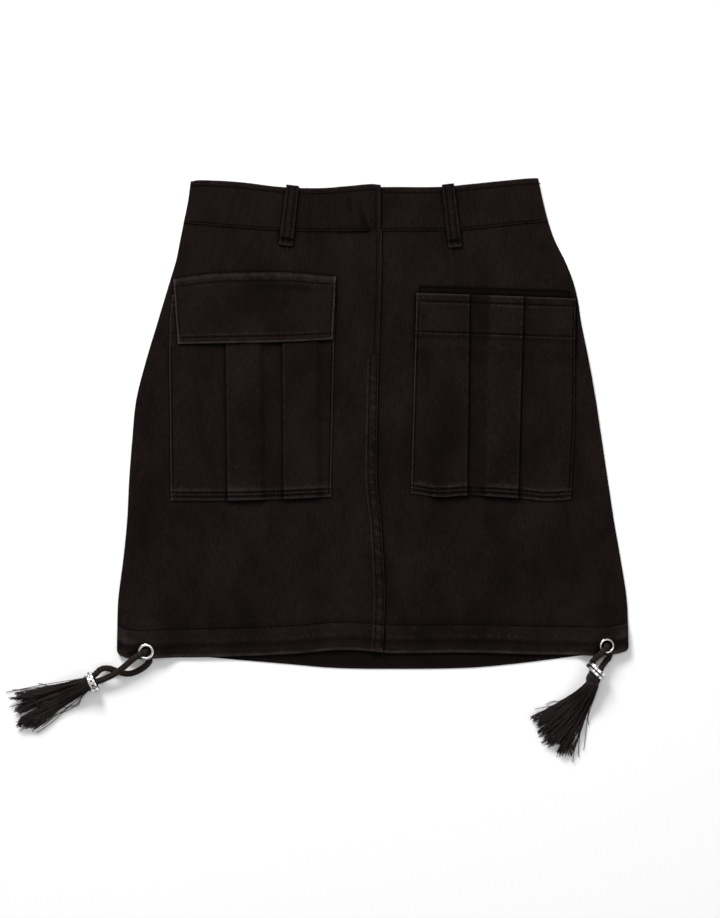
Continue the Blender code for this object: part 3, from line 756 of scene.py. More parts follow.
class Finish(Enum):
    """The finishes of the skirt, with the record's material slot that each belongs to."""

    DENIM = ("denim", Denim())
    STITCH = ("denim", Yarn("sewing thread", (0.0006, 0.0004, 0.0004), (0.0035, 0.0026, 0.0024), 0.7, 0.02))
    BRAID = ("cord", Yarn("braided cord", DYED_BLACK, (0.048, 0.035, 0.031), 0.7, 0.03))
    TASSEL = ("tassel_thread", Yarn("tassel thread", DYED_BLACK, (0.032, 0.021, 0.018), 0.4, 0.14))
    EYELET = ("eyelet_metal", Metal("polished eyelet", (0.66, 0.65, 0.64), 0.16))
    BEAD = ("bead_metal", Metal("polished bead", (0.90, 0.89, 0.88), 0.12))
    STONE = ("bead_metal", Metal("dark stone", (0.012, 0.012, 0.015), 0.3))

    @property
    def slot(self) -> str:
        """The record's material slot."""
        return self.value[0]

    def material(self) -> bpy.types.Material:
        """The finish's material, built at its first use."""
        recipe = self.value[1]
        return bpy.data.materials.get(recipe.name) or recipe.make()


# Meshes


class Parts:
    """Points and faces that become one mesh, with how rubbed each point is and how much painted shade it has.
    """

    def __init__(self) -> None:
        """Starts empty."""
        self.points: list[Array] = []
        self.faces: list[Array] = []
        self.worn: list[Array] = []
        self.count = 0

    def add(self, points: Array, faces: Array, worn: Array | float = 0.0) -> None:
        """Adds a piece.

        Args:
            points: Places in millimetres, one a row.
            faces: Each face's point numbers, one face a row, turned outwards.
            worn: How rubbed each point is, up to 1, and below 0 how much painted shade darkens it.
        """
        self.points.append(points)
        self.faces.append(faces + self.count)
        self.worn.append(np.broadcast_to(np.asarray(worn, float), (len(points),)))
        self.count += len(points)

    def build(self, name: str, finish: Finish, smooth_angle: float = 50.0) -> Piece:
        """One object of all that was added, which rides on the skirt.

        Args:
            name: The piece's name.
            finish: Its finish.
            smooth_angle: Edges sharper than this many degrees stay crisp.

        Returns:
            The object.
        """
        points = np.concatenate(self.points) * MM
        faces = [row for block in self.faces for row in block.tolist()]
        mesh = bpy.data.meshes.new(name)
        mesh.from_pydata(points.tolist(), [], faces)
        mesh.attributes.new("worn", "FLOAT", "POINT").data.foreach_set("value", np.concatenate(self.worn))
        mesh.validate()
        mesh.shade_smooth()
        mesh.set_sharp_from_angle(angle=math.radians(smooth_angle))
        mesh.materials.append(finish.material())
        made = bpy.data.objects.new(name, mesh)
        bpy.context.scene.collection.objects.link(made)
        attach(made, "root")
        finish.slot
        return made


def grid_faces(rows: int, columns: int, closed: bool = False) -> Array:
    """The four-sided faces of a grid of points, whose rows may close on themselves.

    Args:
        rows: The number of rows.
        columns: The number of points in each.
        closed: Whether each row closes on itself.

    Returns:
        Four indices for each face.
    """
    r, c = np.meshgrid(np.arange(rows - 1), np.arange(columns if closed else columns - 1), indexing="ij")
    after = (c + 1) % columns
    here, above = r * columns, (r + 1) * columns
    return np.stack([here + c, here + after, above + after, above + c], -1).reshape(-1, 4)


def turned_outwards(points: Array, faces: Array) -> Array:
    """The faces of a closed mesh, flipped if they face inwards.

    Args:
        points: The mesh's points.
        faces: Its faces.

    Returns:
        The faces, all facing out.
    """
    a, b, c, d = (points[faces[:, k]] for k in range(4))
    volume = np.sum(np.cross(b - a, c - a) * a) + np.sum(np.cross(c - a, d - a) * a)
    return faces if volume > 0 else faces[:, ::-1]


def add_shell(parts: Parts, outer: Array, inner: Array, worn: Array, holes: Holes = ()) -> None:
    """Adds a closed shell between an outer and an inner skin.

    Args:
        parts: The mesh to add it to.
        outer: The outer skin's points, as rows, columns and XYZ.
        inner: The inner skin's points, in the same rows and columns.
        worn: How rubbed each of the outer points is, and below 0 how much painted shade darkens it.
        holes: Round holes through the shell, as a seat and a radius.
    """
    rows, columns = outer.shape[:2]
    inner_start = rows * columns
    faces = grid_faces(rows, columns)
    kept = np.ones(len(faces), bool)
    outer, inner = outer.copy(), inner.copy()
    for seat, radius in holes:
        middle = outer.reshape(-1, 3)[faces].mean(axis=1)
        away = np.hypot(middle[:, 0] - seat.x, middle[:, 1] - seat.y)
        kept &= away > radius
        rim = np.intersect1d(faces[kept], faces[away <= radius])
        for skin in (outer, inner):
            flat = skin.reshape(-1, 3)
            offset = flat[rim, :2] - (seat.x, seat.y)
            flat[rim, :2] = (seat.x, seat.y) + offset * radius / np.linalg.norm(offset, axis=1)[:, None]
    left = faces[kept]
    edges = np.concatenate([left[:, [k, (k + 1) % 4]] for k in range(4)])
    keys = {(a, b) for a, b in edges.tolist()}
    border = np.array([(a, b) for a, b in keys if (b, a) not in keys])
    walls = np.stack([border[:, 1], border[:, 0], border[:, 0] + inner_start, border[:, 1] + inner_start], -1)
    points = np.concatenate([outer.reshape(-1, 3), inner.reshape(-1, 3)])
    faces = np.concatenate([left, left[:, ::-1] + inner_start, walls])
    used, faces = np.unique(faces, return_inverse=True)
    faces = faces.reshape(-1, 4)
    worn = np.concatenate([worn.reshape(-1), worn.reshape(-1) * 0.5])
    parts.add(points[used], turned_outwards(points[used], faces), worn[used])


def rounded_drop(distance: Array, radius: float) -> Array:
    """How far a rounded edge has dropped at a distance in from it."""
    t = np.clip(distance / radius, 0.0, 1.0)
    return radius * (1 - np.sqrt(1 - (1 - t) ** 2))


def edges_drop(distance: Array, length: float, radius: float) -> Array:
    """How far a piece's two rounded edges, this length apart, have dropped."""
    return rounded_drop(np.minimum(distance, length - distance), radius)


def edge_steps(radius: float) -> list[float]:
    """Distances in from a rounded edge that draw it well."""
    return [radius * share for share in (0.0, 0.04, 0.16, 0.36, 0.64, 1.0)]


def run_of(start: float, end: float, spacing: float) -> list[float]:
    """Even steps after start, up to and with end."""
    count = max(1, round((end - start) / spacing))
    return [start + (end - start) * (k + 1) / count for k in range(count)]


def mirrored(steps: list[float], length: float) -> list[float]:
    """An edge's steps as the far edge of a length has them, without the first that comes."""
    return [length - step for step in steps[::-1]][1:]


def between_edges(length: float, radius: float, spacing: float) -> list[float]:
    """Distances from one rounded edge to the other, closer together at both."""
    steps = edge_steps(radius)
    return steps + run_of(radius, length - radius, spacing) + mirrored(steps, length)


def skin(x: Array, y: Array, z: Array) -> Array:
    """One skin's points, as rows, columns and XYZ."""
    return np.stack([x, y, z], -1)


def denim_piece(name: str, node: str, outer: Array, inner: Array, worn: Array, holes: Holes = ()) -> Piece:
    """A piece of denim between two skins, in its node's place.

    Args:
        name: The piece's name after "denim_".
        node: The node that it replaces.
        outer: The outer skin's points.
        inner: The inner skin's points.
        worn: How rubbed the outer points are, and below 0 how much painted shade darkens them.
        holes: Round holes through it, as a seat and a radius.

    Returns:
        The piece.
    """
    parts = Parts()
    add_shell(parts, outer, inner, worn, holes)
    made = parts.build(f"denim_{name}", Finish.DENIM)
    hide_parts(node)
    return made


# Sewing


@dataclass(frozen=True)
class StitchRow:
    """A row of machine stitches along a line on the cloth.

    Each stitch is a short thread that dips into the cloth at both ends.
    """

    path: Pairs
    pitch: float = 3.1
    share: float = 0.8
    width: float = 0.8
    rise: float = 0.3
    wander: float = 0.12

    def lay(self, parts: Parts, surface: Height, worn: float = 0.25) -> None:
        """Adds the row's stitches.

        Args:
            parts: The mesh to add them to.
            surface: The cloth's height at each place.
            worn: How rubbed the thread is.
        """
        line = np.array(self.path, float)
        run = np.concatenate([[0.0], np.cumsum(np.linalg.norm(np.diff(line, axis=0), axis=1))])
        count = max(1, int(run[-1] / self.pitch))
        middle = (np.arange(count) + 0.5) * run[-1] / count
        half = self.pitch * self.share / 2
        stations = np.array([-1.0, -0.62, 0.0, 0.62, 1.0])
        lifts = np.array([-0.9, 0.6, 1.0, 0.6, -0.9])
        girths = np.array([0.5, 0.95, 1.0, 0.95, 0.5])
        at = middle[:, None] + stations * half * (1 + 0.08 * ripple(middle, 17, 1.0))[:, None]
        x, y = np.interp(at, run, line[:, 0]), np.interp(at, run, line[:, 1])
        heading = np.stack([x[:, -1] - x[:, 0], y[:, -1] - y[:, 0]], -1)
        heading /= np.linalg.norm(heading, axis=1)[:, None]
        aside = np.stack([-heading[:, 1], heading[:, 0]], -1)
        drift = self.wander * ripple(middle, 11, 3.0)
        x, y = x + aside[:, :1] * drift[:, None], y + aside[:, 1:] * drift[:, None]
        z = surface(x, y) + lifts * self.rise
        round_turns = np.arange(5) * math.tau / 5
        out, up = np.cos(round_turns), np.sin(round_turns)
        girth = girths[None, :, None] * self.width / 2
        points = np.stack(
            [
                x[..., None] + aside[:, 0, None, None] * girth * out,
                y[..., None] + aside[:, 1, None, None] * girth * out,
                z[..., None] + girth * up * 0.8,
            ],
            -1,
        )
        tube = grid_faces(5, 5, closed=True)[:, ::-1]
        faces = (tube[None] + (np.arange(count) * 25)[:, None, None]).reshape(-1, 4)
        parts.add(points.reshape(-1, 3), faces, worn)


def sewn(distance: Array) -> Array:
    """How a row of stitches shows in the cloth: painted shade along its dent, and rubbed on both sides."""
    return 0.13 * (bump(distance - 1.8, 0.9) + bump(distance + 1.8, 0.9)) - 0.4 * bump(distance, 0.9)


def line_along(places: Array, height: Callable[[Array], Array]) -> Pairs:
    """A line across the skirt, as the height at each place."""
    return tuple(zip(places.tolist(), height(places).tolist()))


def line_up(heights: Array, place: Callable[[Array], Array]) -> Pairs:
    """A line up the skirt, as the place at each height."""
    return tuple(zip(place(heights).tolist(), heights.tolist()))


def groove(distance: Array, along: Array, depth: float = 0.28, seed: float = 0.0) -> Array:
    """The dent that a row of stitches pulls into the cloth, with small puckers beside it.

    Args:
        distance: How far each place is from the row.
        along: How far along the row it is.
        depth: How deep the dent is.
        seed: Sets one row's puckers apart from another's.

    Returns:
        The change of the cloth's height.
    """
    puckers = 0.16 * ripple(along, 6.5, seed) * bump(distance, 3.2)
    return puckers - depth * bump(distance, 0.9)


# The skirt's body


@dataclass
class FrontPanel:
    """One half of the front. The left one laps over the right one at the centre."""

    side: Side
    form: SkirtForm = FORM
    centre_lap: float = 9.5
    lap_ramp: float = 4.5
    lap_gap: float = 0.45
    hem_stitch: float = 27.0
    corner: float = 4.5
    seam_rows: tuple[float, float] = (1.6, 8.4)
    fly_row: float = 4.7
    barrel: float = 5.5
    seam_top: float = 62.0
    rows: list[float] = field(default_factory=list)

    @property
    def inward(self) -> int:
        """The way along X from the side seam to the centre."""
        return self.side.value

    def height(self, share: Array) -> Height:
        """Where a row lies, at this share of the way from the hem to the waist seam."""
        form = self.form
        return lambda x: mix(form.front_hem.at(x), form.waist_seam.at(x) + form.under_band, share)

    def hem_relief(self, x: Array, above: Array) -> Array:
        """The soft ridges along the hem's drawcord channel.

        Args:
            x: Places across the skirt.
            above: How far above the hem's edge each is.

        Returns:
            The change of the cloth's height.
        """
        uneven = 1 + 0.35 * ripple(x, 75, 2.0)
        channel = 0.55 * bump(above - 15.5 - 1.5 * ripple(x, 90, 5.0), 3.6) * uneven
        channel += 0.4 * bump(above - 4.5, 3.0) * uneven
        channel -= 0.6 * bump(above - 9.8 - 0.8 * ripple(x, 60, 1.0), 2.0) * uneven
        drag = 0.13 * ripple(x + 0.7 * above, 14, 4.0) * bump(above - 20, 12)
        return channel + drag + groove(above - self.hem_stitch, x, 0.38, 1.0)

    def felled(self, y: Array) -> Array:
        """1 where the centre seam is felled, 0 up along the fly, and smooth between."""
        return ease((self.seam_top + 8 - y) / 16)

    def centre_relief(self, x: Array, y: Array) -> Array:
        """The felled seam at centre front, and above it the fly's one row of stitches.

        Args:
            x: Places across the skirt, in mm.
            y: Places up the skirt, in mm.

        Returns:
            The relief at each place, in mm.
        """
        from_edge, felled = self.form.centre_front.at(y) - x, self.felled(y)
        band = 0.45 * ease((from_edge + 1) / 2) * ease((11.5 - from_edge) / 2.2) * felled
        band += 0.22 * ripple(y + 0.5 * x, 9, 2.0) * bump(from_edge - 4.8, 3.4) * felled
        near, far = self.seam_rows
        rows = groove(from_edge - near, y, 0.25, 2.0) * felled + groove(from_edge - far, y, 0.3, 3.0) * felled
        return band + rows + groove(from_edge - self.fly_row, y, 0.3, 4.0) * (1 - felled)

    def creases(self) -> tuple[Ridge, ...]:
        """The soft creases of this half, placed from the photo.

        Returns:
            The ridges and hollows.
        """
        shared = (
            Ridge(-18.5, -33.5, -50, 12, 2.6, -0.55, 1.5),
            Ridge(-10, -60, -60, 16, 5, 0.35, 2.0),
        )
        left = (
            Ridge(-82, 166, 88, 22, 1.1, -0.55),
            Ridge(-207, -205, 92, 18, 3.4, 0.7, 1.0),
            Ridge(-232, -207, 84, 16, 3.0, 0.8, -1.5),
            Ridge(-222, -198, 60, 12, 3.6, -0.5, 1.0),
            Ridge(-60, -214, 8, 26, 3.2, 0.6, 2.0),
            Ridge(-41, -203, 150, 14, 2.8, 0.5, 1.0),
            Ridge(-140, -135, 82, 60, 16, 0.35, 6.0),
            Ridge(-60, -150, 100, 48, 14, 0.3, -5.0),
            Ridge(-205, -120, 80, 70, 14, -0.3, 6.0),
            Ridge(-20, 160, 70, 18, 5, 0.3, 2.0),
            Ridge(-140, 165, 4, 40, 9, 0.3, 4.0),
            Ridge(-28, 30, 88, 60, 6, 0.3, 2.0),
            Ridge(-212, -20, 96, 60, 7, 0.4, 3.0),
        )
        right = (
            Ridge(80, 158, 88, 26, 1.1, -0.55),
            Ridge(17, -40, -50, 22, 3.4, -0.6, 2.5),
            Ridge(26, -54, -42, 20, 4.0, 0.4, 2.0),
            Ridge(233, -205, 86, 18, 3.0, 0.8, 1.5),
            Ridge(206, -200, 112, 16, 3.4, 0.6, -1.0),
            Ridge(228, -190, 60, 12, 3.6, -0.4, 1.0),
            Ridge(130, -150, 98, 70, 16, 0.35, -6.0),
            Ridge(60, -130, 84, 60, 14, 0.3, 5.0),
            Ridge(200, -110, 100, 70, 12, -0.3, -6.0),
            Ridge(118, 150, 172, 40, 9, 0.3, 4.0),
            Ridge(22, 90, 92, 60, 6, 0.25, 2.0),
            Ridge(206, -20, 84, 70, 7, 0.4, -3.0),
            Ridge(28, -214, 172, 24, 3.2, 0.5, 2.0),
        )
        return shared + (left if self.side is Side.LEFT else right)

    def lap(self, x: Array, y: Array) -> Array:
        """How much the left half is lifted, where it lies over the right one.

        Args:
            x: Places across the skirt, in mm.
            y: Places up the skirt, in mm.

        Returns:
            The lift at each place, in mm.
        """
        if self.side is Side.RIGHT:
            return np.zeros_like(x)
        past = x - self.form.centre_front.at(y) + self.centre_lap + self.lap_ramp
        return (self.form.front_wall(x, y) + self.lap_gap) * ease(past / (self.lap_ramp - 1))

    def surface(self, x: Array, y: Array) -> Array:
        """Height of this half's upper side, with all its relief.

        Args:
            x: Places across the skirt, in mm.
            y: Places up the skirt, in mm.

        Returns:
            The height at each place, in mm.
        """
        top = self.form.front_top(x, y) + self.lap(x, y)
        detail = sum(crease.rise(x, y) for crease in self.creases())
        detail = detail + self.hem_relief(x, y - self.form.front_hem.at(x))
        detail += 0.10 * ripple(x + 0.3 * y, 46, 3.0) * ripple(y - 0.2 * x, 70, 5.0)
        if self.side is Side.LEFT:
            detail += self.centre_relief(x, y)
        for seat in self.form.seats:
            detail = detail * ease((np.hypot(x - seat.x, y - seat.y) - 8.0) / 6.0)
        return top + np.maximum(detail, -0.8)

    def grid(self) -> tuple[Array, Array]:
        """The panel's points seen from above.

        Returns:
            X and Y of each row and column.
        """
        form = self.form
        hem = edge_steps(form.double / 2)
        self.rows = hem + run_of(hem[-1], 30.0, 1.0) + run_of(30.0, form.panel_length, 2.6)
        insets = run_of(2.6, 14.0, 1.6) + run_of(14.0, 46.0, 1.25)
        lap = 0.0 if self.side is Side.RIGHT else self.centre_lap + self.lap_ramp
        from_centre = edge_steps(form.cloth / 2) + run_of(form.cloth / 2, max(lap, 3.0), 0.8)
        flat = np.linspace(0, 1, 64)[1:-1]
        xs, ys = [], []
        for distance in self.rows:
            height = self.height(distance / form.panel_length)
            edge = settle(height, form.side_edge(self.side))
            edge = edge + self.inward * float(rounded_drop(np.array(distance), self.corner))
            centre = settle(height, form.centre_front)
            if self.side is Side.RIGHT:
                centre = centre - self.centre_lap
            rolled = edge + self.inward * np.array([inset for inset, _ in form.edge_roll])
            inner = edge + self.inward * np.array(insets)
            outer = centre - self.inward * np.array(from_centre[::-1])
            x = np.concatenate([rolled, inner, mix(inner[-1], outer[0], flat), outer])
            y = height(x)
            y[: len(rolled)] = height(edge)
            xs.append(x)
            ys.append(y)
        return np.array(xs), np.array(ys)

    def skins(self) -> tuple[Array, Array, Array]:
        """The outer and inner skins, and how worn the outer one is.

        Returns:
            Both skins as rows of points, and the wear as a grid.
        """
        form = self.form
        x, y = self.grid()
        above = np.array(self.rows)[:, None]
        thick = form.front_wall(x, y)
        top = self.surface(x, y)
        under = np.maximum(np.minimum(top - thick, form.front_top(x, y) + self.lap(x, y) - thick), 0.12)
        hem_drop = rounded_drop(above, form.double / 2)
        from_centre = np.abs(x - x[:, -1:])
        centre_drop = rounded_drop(from_centre, form.cloth / 2)
        drop = np.maximum(hem_drop, centre_drop)
        top, under = top - drop, np.minimum(under + drop, top - drop)
        inner_x = form.turn_down(self.side, x, top, under)
        worn = 0.66 * bump(above - 1.2 - 0.4 * ripple(x, 40, 2.0), 1.9) * (0.75 + 0.3 * ripple(x, 34, 6.0))
        # Paler along the channel's upper ridge; painted shade in the trough between its ridges and in a line
        # just above the hem's row of stitches.
        worn = worn + 0.12 * bump(above - 15.5, 3.2) - 0.3 * bump(above - 9.5, 2.6)
        worn = worn - 0.2 * bump(above - 29.5, 1.4)
        worn = worn + sewn(above - self.hem_stitch)
        edge = np.abs(x - x[:, :1])
        corner = np.exp(-(((y + 206) / 26) ** 2)) * bump(edge - 7 - 2 * ripple(y, 30, 1.0), 6.0) * 0.45
        worn = worn + corner * 0.5 + 0.06 * bump(edge - 2.0, 2.2)
        if self.side is Side.LEFT:
            worn = worn + 0.24 * bump(from_centre - 0.5, 0.8) + self.seam_wear(x, y)
        return skin(x, y, top), skin(inner_x, y, np.minimum(under, top)), np.clip(worn, -0.6, 1)

    def seam_wear(self, x: Array, y: Array) -> Array:
        """The felled seam's rubbed puckers.

        Args:
            x: Places across the skirt, in mm.
            y: Places up the skirt, in mm.

        Returns:
            The wear at each place.
        """
        from_edge, felled = self.form.centre_front.at(y) - x, self.felled(y)
        spots = np.clip(0.3 + 0.8 * ripple(y + 0.5 * x, 9, 2.0), 0, 1)
        return 0.3 * felled * bump(from_edge - 5, 3.6) * spots + 0.25 * felled * bump(from_edge - 10, 0.9)

    def sew(self) -> None:
        """The panel's rows of stitches."""
        parts = Parts()
        form = self.form
        start, end = (-238.0, -2.0) if self.side is Side.LEFT else (16.0, 238.0)
        hem = line_along(np.linspace(start, end, 90), lambda x: form.front_hem.at(x) + self.hem_stitch)
        StitchRow(hem).lay(parts, self.surface, 0.35)
        if self.side is Side.LEFT:
            low, high, top = -214.0, self.seam_top + 4, 178.0
            runs = [(row, low, high) for row in self.seam_rows] + [(self.fly_row, high, top)]
            for row, start, end in runs:
                y = np.linspace(start, end, 80)
                path = line_up(y, lambda at, inset=row: form.centre_front.at(at) - inset)
                StitchRow(path).lay(parts, self.surface, 0.3)
        parts.build(f"stitches_front_{self.side.label}", Finish.STITCH)
        dart = ((-81.5, 169.0), (-80.0, 146.0)) if self.side is Side.LEFT else ((74.3, 167.0), (76.2, 132.0))
        ridge = Parts()
        StitchRow(dart, 3.0, 1.3, 1.1, 0.12, 0.0).lay(ridge, self.surface, 0.3)
        ridge.build(f"dart_{self.side.label}", Finish.DENIM)

    def build(self) -> None:
        """Builds the panel in its node's place, and sews it."""
        label, holes = self.side.label, ((self.form.seat(self.side), self.barrel),)
        made = denim_piece(f"front_{label}", f"front_panel_{label}", *self.skins(), holes)
        self.sew()


@dataclass
class BackPanel:
    """One half of the back, flat on the surface."""

    side: Side
    form: SkirtForm = FORM
    inset: float = 2.4
    centre_back: float = 2.6
    overlap: float = 0.35
    hem_stitch: float = 27.0
    flat: tuple[float, float] = (0.25, 0.45)
    flat_used: float = 0.86

    def build(self) -> None:
        """Builds the panel in its node's place."""
        form, inward = self.form, self.side.value
        rows = edge_steps(form.cloth / 2) + run_of(0.6, 30.0, 1.5) + run_of(30.0, form.panel_length, 6.0)
        ends = np.array(edge_steps(form.cloth / 2))
        shares = np.linspace(0, 1, 70)[1:-1]
        xs, ys = [], []
        for distance in rows:
            share = distance / form.panel_length

            def height(x: Array, share: float = share) -> Array:
                """Height of the back's upper side."""
                return mix(form.back_hem.at(x), form.waist_seam.at(x) + form.under_band, share)

            edge = settle(height, form.side_edge(self.side)) + inward * self.inset
            centre = self.centre_back + inward * self.overlap
            middle = mix(edge, centre, shares)
            x = np.concatenate([edge + inward * ends, middle, centre - inward * ends[::-1]])
            xs.append(x)
            ys.append(height(x))
        x, y = np.array(xs), np.array(ys)
        above = np.array(rows)[:, None]
        edge_away = np.minimum(np.abs(x - x[:, :1]), np.abs(x - x[:, -1:]))
        drop = np.maximum(rounded_drop(above, form.cloth / 2), rounded_drop(edge_away, form.cloth / 2))
        dents = groove(above - self.hem_stitch, x, 0.2, 7.0) + 0.08 * ripple(x, 60, 2.0) * bump(above - 8, 8)
        top = form.cloth + np.minimum(dents, 0.15) - drop
        # Rubbed along the hem's edge; the rest of the back is painted darker, a painted shade for the shadow
        # under the front.
        worn = np.broadcast_to(0.55 * bump(above - 0.8, 1.2) - 0.42, x.shape)
        label, outer, inner = self.side.label, skin(x, y, top), skin(x, y, np.minimum(drop, top))
        made = denim_piece(f"back_{label}", f"back_panel_{label}", outer, inner, worn)


@dataclass
class Waistband:
    """One front half of the waistband. The left one overlaps the right one at the centre."""

    side: Side
    form: SkirtForm = FORM
    overlap_end: float = 7.6
    underlap_end: float = -31.0
    seam_row: float = 2.0
    top_row: float = 5.4
    end_row: float = 4.7
    span: float = 44.0
    pull: tuple[Ridge, ...] = (
        Ridge(-8.5, 192, 94, 12, 1.8, -0.8, 0.5),
        Ridge(-3.5, 194, 78, 11, 2.4, 0.45),
        Ridge(-15, 193, 112, 10, 2.6, 0.4),
        Ridge(-20, 214, 20, 14, 3.0, 0.3),
        Ridge(-12, 207, 150, 9, 2.0, -0.35),
    )

    def top_edge(self) -> Profile:
        """The band's upper edge."""
        return self.form.waist_left if self.side is Side.LEFT else self.form.waist_right

    def height(self, share: Array) -> Height:
        """Where a row of the band lies, from its seam at 0 to its top edge at 1."""
        return lambda x: mix(self.form.waist_seam.at(x), self.top_edge().at(x), share)

    def lap(self, x: Array, y: Array) -> Array:
        """How much the left band is lifted over the right one, less where it is sewn down.

        Args:
            x: Places across the skirt, in mm.
            y: Places up the skirt, in mm.

        Returns:
            The lift at each place, in mm.
        """
        if self.side is Side.RIGHT:
            return np.zeros_like(x)
        free = 0.3 + 0.7 * ease((y - self.form.waist_seam.at(x)) / 10)
        return (self.form.double + self.form.gap) * ease((x - self.underlap_end + 6) / 5) * free

    def relief(self, x: Array, y: Array) -> Array:
        """Stitch dents, puckers, the pull of the hidden hook and soft waves.

        Args:
            x: Places across the skirt, in mm.
            y: Places up the skirt, in mm.

        Returns:
            The relief at each place, in mm.
        """
        above, below = y - self.form.waist_seam.at(x), self.top_edge().at(x) - y
        rise = 0.12 * ripple(x + 0.5 * y, 38, 1.0) * ripple(y, 40, 2.0)
        rise += groove(above - self.seam_row, x, 0.3, 1.0) + groove(below - self.top_row, x, 0.26, 2.0)
        rise += 0.12 * ripple(x, 8, 5.0) * bump(below - 1.5, 3.0)
        if self.side is Side.LEFT:
            for crease in self.pull:
                rise += crease.rise(x, y)
            rise += groove(self.overlap_end - x - self.end_row, y, 0.25, 3.0)
        return np.maximum(rise, -0.9)

    def surface(self, x: Array, y: Array) -> Array:
        """Height of the band's upper side."""
        return self.form.front_base + self.form.double + self.lap(x, y) + self.relief(x, y)

    @property
    def end(self) -> float:
        """Where the band ends near the centre."""
        return self.overlap_end if self.side is Side.LEFT else self.underlap_end

    def grid(self) -> tuple[Array, Array]:
        """The band's points seen from above.

        Returns:
            X and Y of each row and column.
        """
        form, end, inward = self.form, self.end, self.side.value
        edge = [step / self.span for step in edge_steps(form.double / 2)]
        shares = edge + run_of(edge[-1], 1 - edge[-1], 1.2 / self.span) + mirrored(edge, 1)
        ends = np.array(edge_steps(form.double / 2))
        roll = np.array([inset for inset, _ in form.edge_roll])
        flat = np.linspace(0, 1, 110)[1:-1]
        xs, ys = [], []
        for share in shares:
            side = settle(self.height(share), form.side_edge(self.side))
            rolled = side + inward * roll
            middle = mix(rolled[-1], end - inward * ends[-1], flat)
            x = np.concatenate([rolled, middle, end - inward * ends[::-1]])
            y = self.height(share)(x)
            y[: len(rolled)] = self.height(share)(side)
            xs.append(x)
            ys.append(y)
        return np.array(xs), np.array(ys)

    def build(self) -> None:
        """Builds the band in its node's place and sews it."""
        form = self.form
        x, y = self.grid()
        above, below = y - form.waist_seam.at(x), self.top_edge().at(x) - y
        radius = form.double / 2
        drop = np.maximum(rounded_drop(below, radius), rounded_drop(np.abs(x - self.end), radius))
        drop = np.maximum(drop, rounded_drop(above, 0.5))
        top = self.surface(x, y)
        under = form.front_base + self.lap(x, y)
        top, under = top - drop, np.minimum(under + drop, top - drop)
        inner_x = form.turn_down(self.side, x, top, under)
        worn = 0.3 * bump(below - 0.6, 1.3) * (0.8 + 0.4 * ripple(x, 17, 4.0)) + 0.05 * bump(above - 0.5, 1.0)
        worn += sewn(above - self.seam_row) + 0.7 * sewn(below - self.top_row)
        if self.side is Side.LEFT:
            worn += 0.28 * bump(self.overlap_end - x - 0.5, 1.0)
            pull = x + 8.5 + 0.3 * (y - 192)
            # Rubbed on the pull's ridge; painted shade in the pull's troughs beside the hidden hook.
            worn += 0.2 * bump(pull - 5, 2.4) * bump(y - 194, 11) - 0.7 * bump(pull, 3.0) * bump(y - 192, 14)
            worn -= 0.5 * bump(pull + 9, 2.6) * bump(y - 206, 10)
        label, worn = self.side.label, np.clip(worn, -0.6, 1)
        outer, inner = skin(x, y, top), skin(inner_x, y, np.minimum(under, top))
        made = denim_piece(f"waistband_{label}", f"waistband_front_{label}", outer, inner, worn)
        self.sew()

    def sew(self) -> None:
        """The rows along the band's seam and its top edge, and down its overlap."""
        parts = Parts()
        start, end = (-174.0, 3.2) if self.side is Side.LEFT else (9.5, 160.0)
        x = np.linspace(start, end, 70)
        low = line_along(x, lambda at: self.form.waist_seam.at(at) + self.seam_row)
        StitchRow(low).lay(parts, self.surface, 0.15)
        high = line_along(x, lambda at: self.top_edge().at(at) - self.top_row)
        StitchRow(high).lay(parts, self.surface, 0.1)
        if self.side is Side.LEFT:
            StitchRow(((2.9, 186.0), (2.9, 221.0))).lay(parts, self.surface, 0.2)
        parts.build(f"stitches_waistband_{self.side.label}", Finish.STITCH)


@dataclass
class BackWaistband:
    """The back of the waistband, flat on the surface under the front one."""

    form: SkirtForm = FORM
    drop: float = 1.0
    inset: float = 2.4
    overlap_end: float = 7.6
    span: float = 42.0

    def build(self) -> None:
        """Builds the band in its node's place."""
        form = self.form
        edge = [step / self.span for step in edge_steps(form.cloth / 2)]
        shares = edge + run_of(edge[-1], 1 - edge[-1], 0.08) + mirrored(edge, 1)
        xs, ys = [], []
        for share in shares:
            across = np.linspace(0, 1, 150)
            x = mix(-190.0, 190.0, across)
            for _ in range(4):
                top = np.where(x < self.overlap_end, form.waist_left.at(x), form.waist_right.at(x))
                y = mix(form.waist_seam.at(x), top - self.drop, share)
                left, right = form.left_side.at(y) + self.inset, form.right_side.at(y) - self.inset
                x = mix(left, right, across)
            xs.append(x)
            ys.append(y)
        x, y = np.array(xs), np.array(ys)
        above = np.array(shares)[:, None] * self.span + 0.0 * x
        below = self.span - above
        drop = np.maximum(rounded_drop(above, form.cloth / 2), rounded_drop(below, form.cloth / 2))
        outer, inner = skin(x, y, form.cloth - drop), skin(x, y, drop)
        made = denim_piece("waistband_back", "waistband_back", outer, inner, 0.25 * bump(below - 0.5, 1.0))


class LoopPoint(NamedTuple):
    """A section of a belt loop: how far down it is and its height, outside and underneath."""

    down: float
    z: float
    under_down: float
    under_z: float


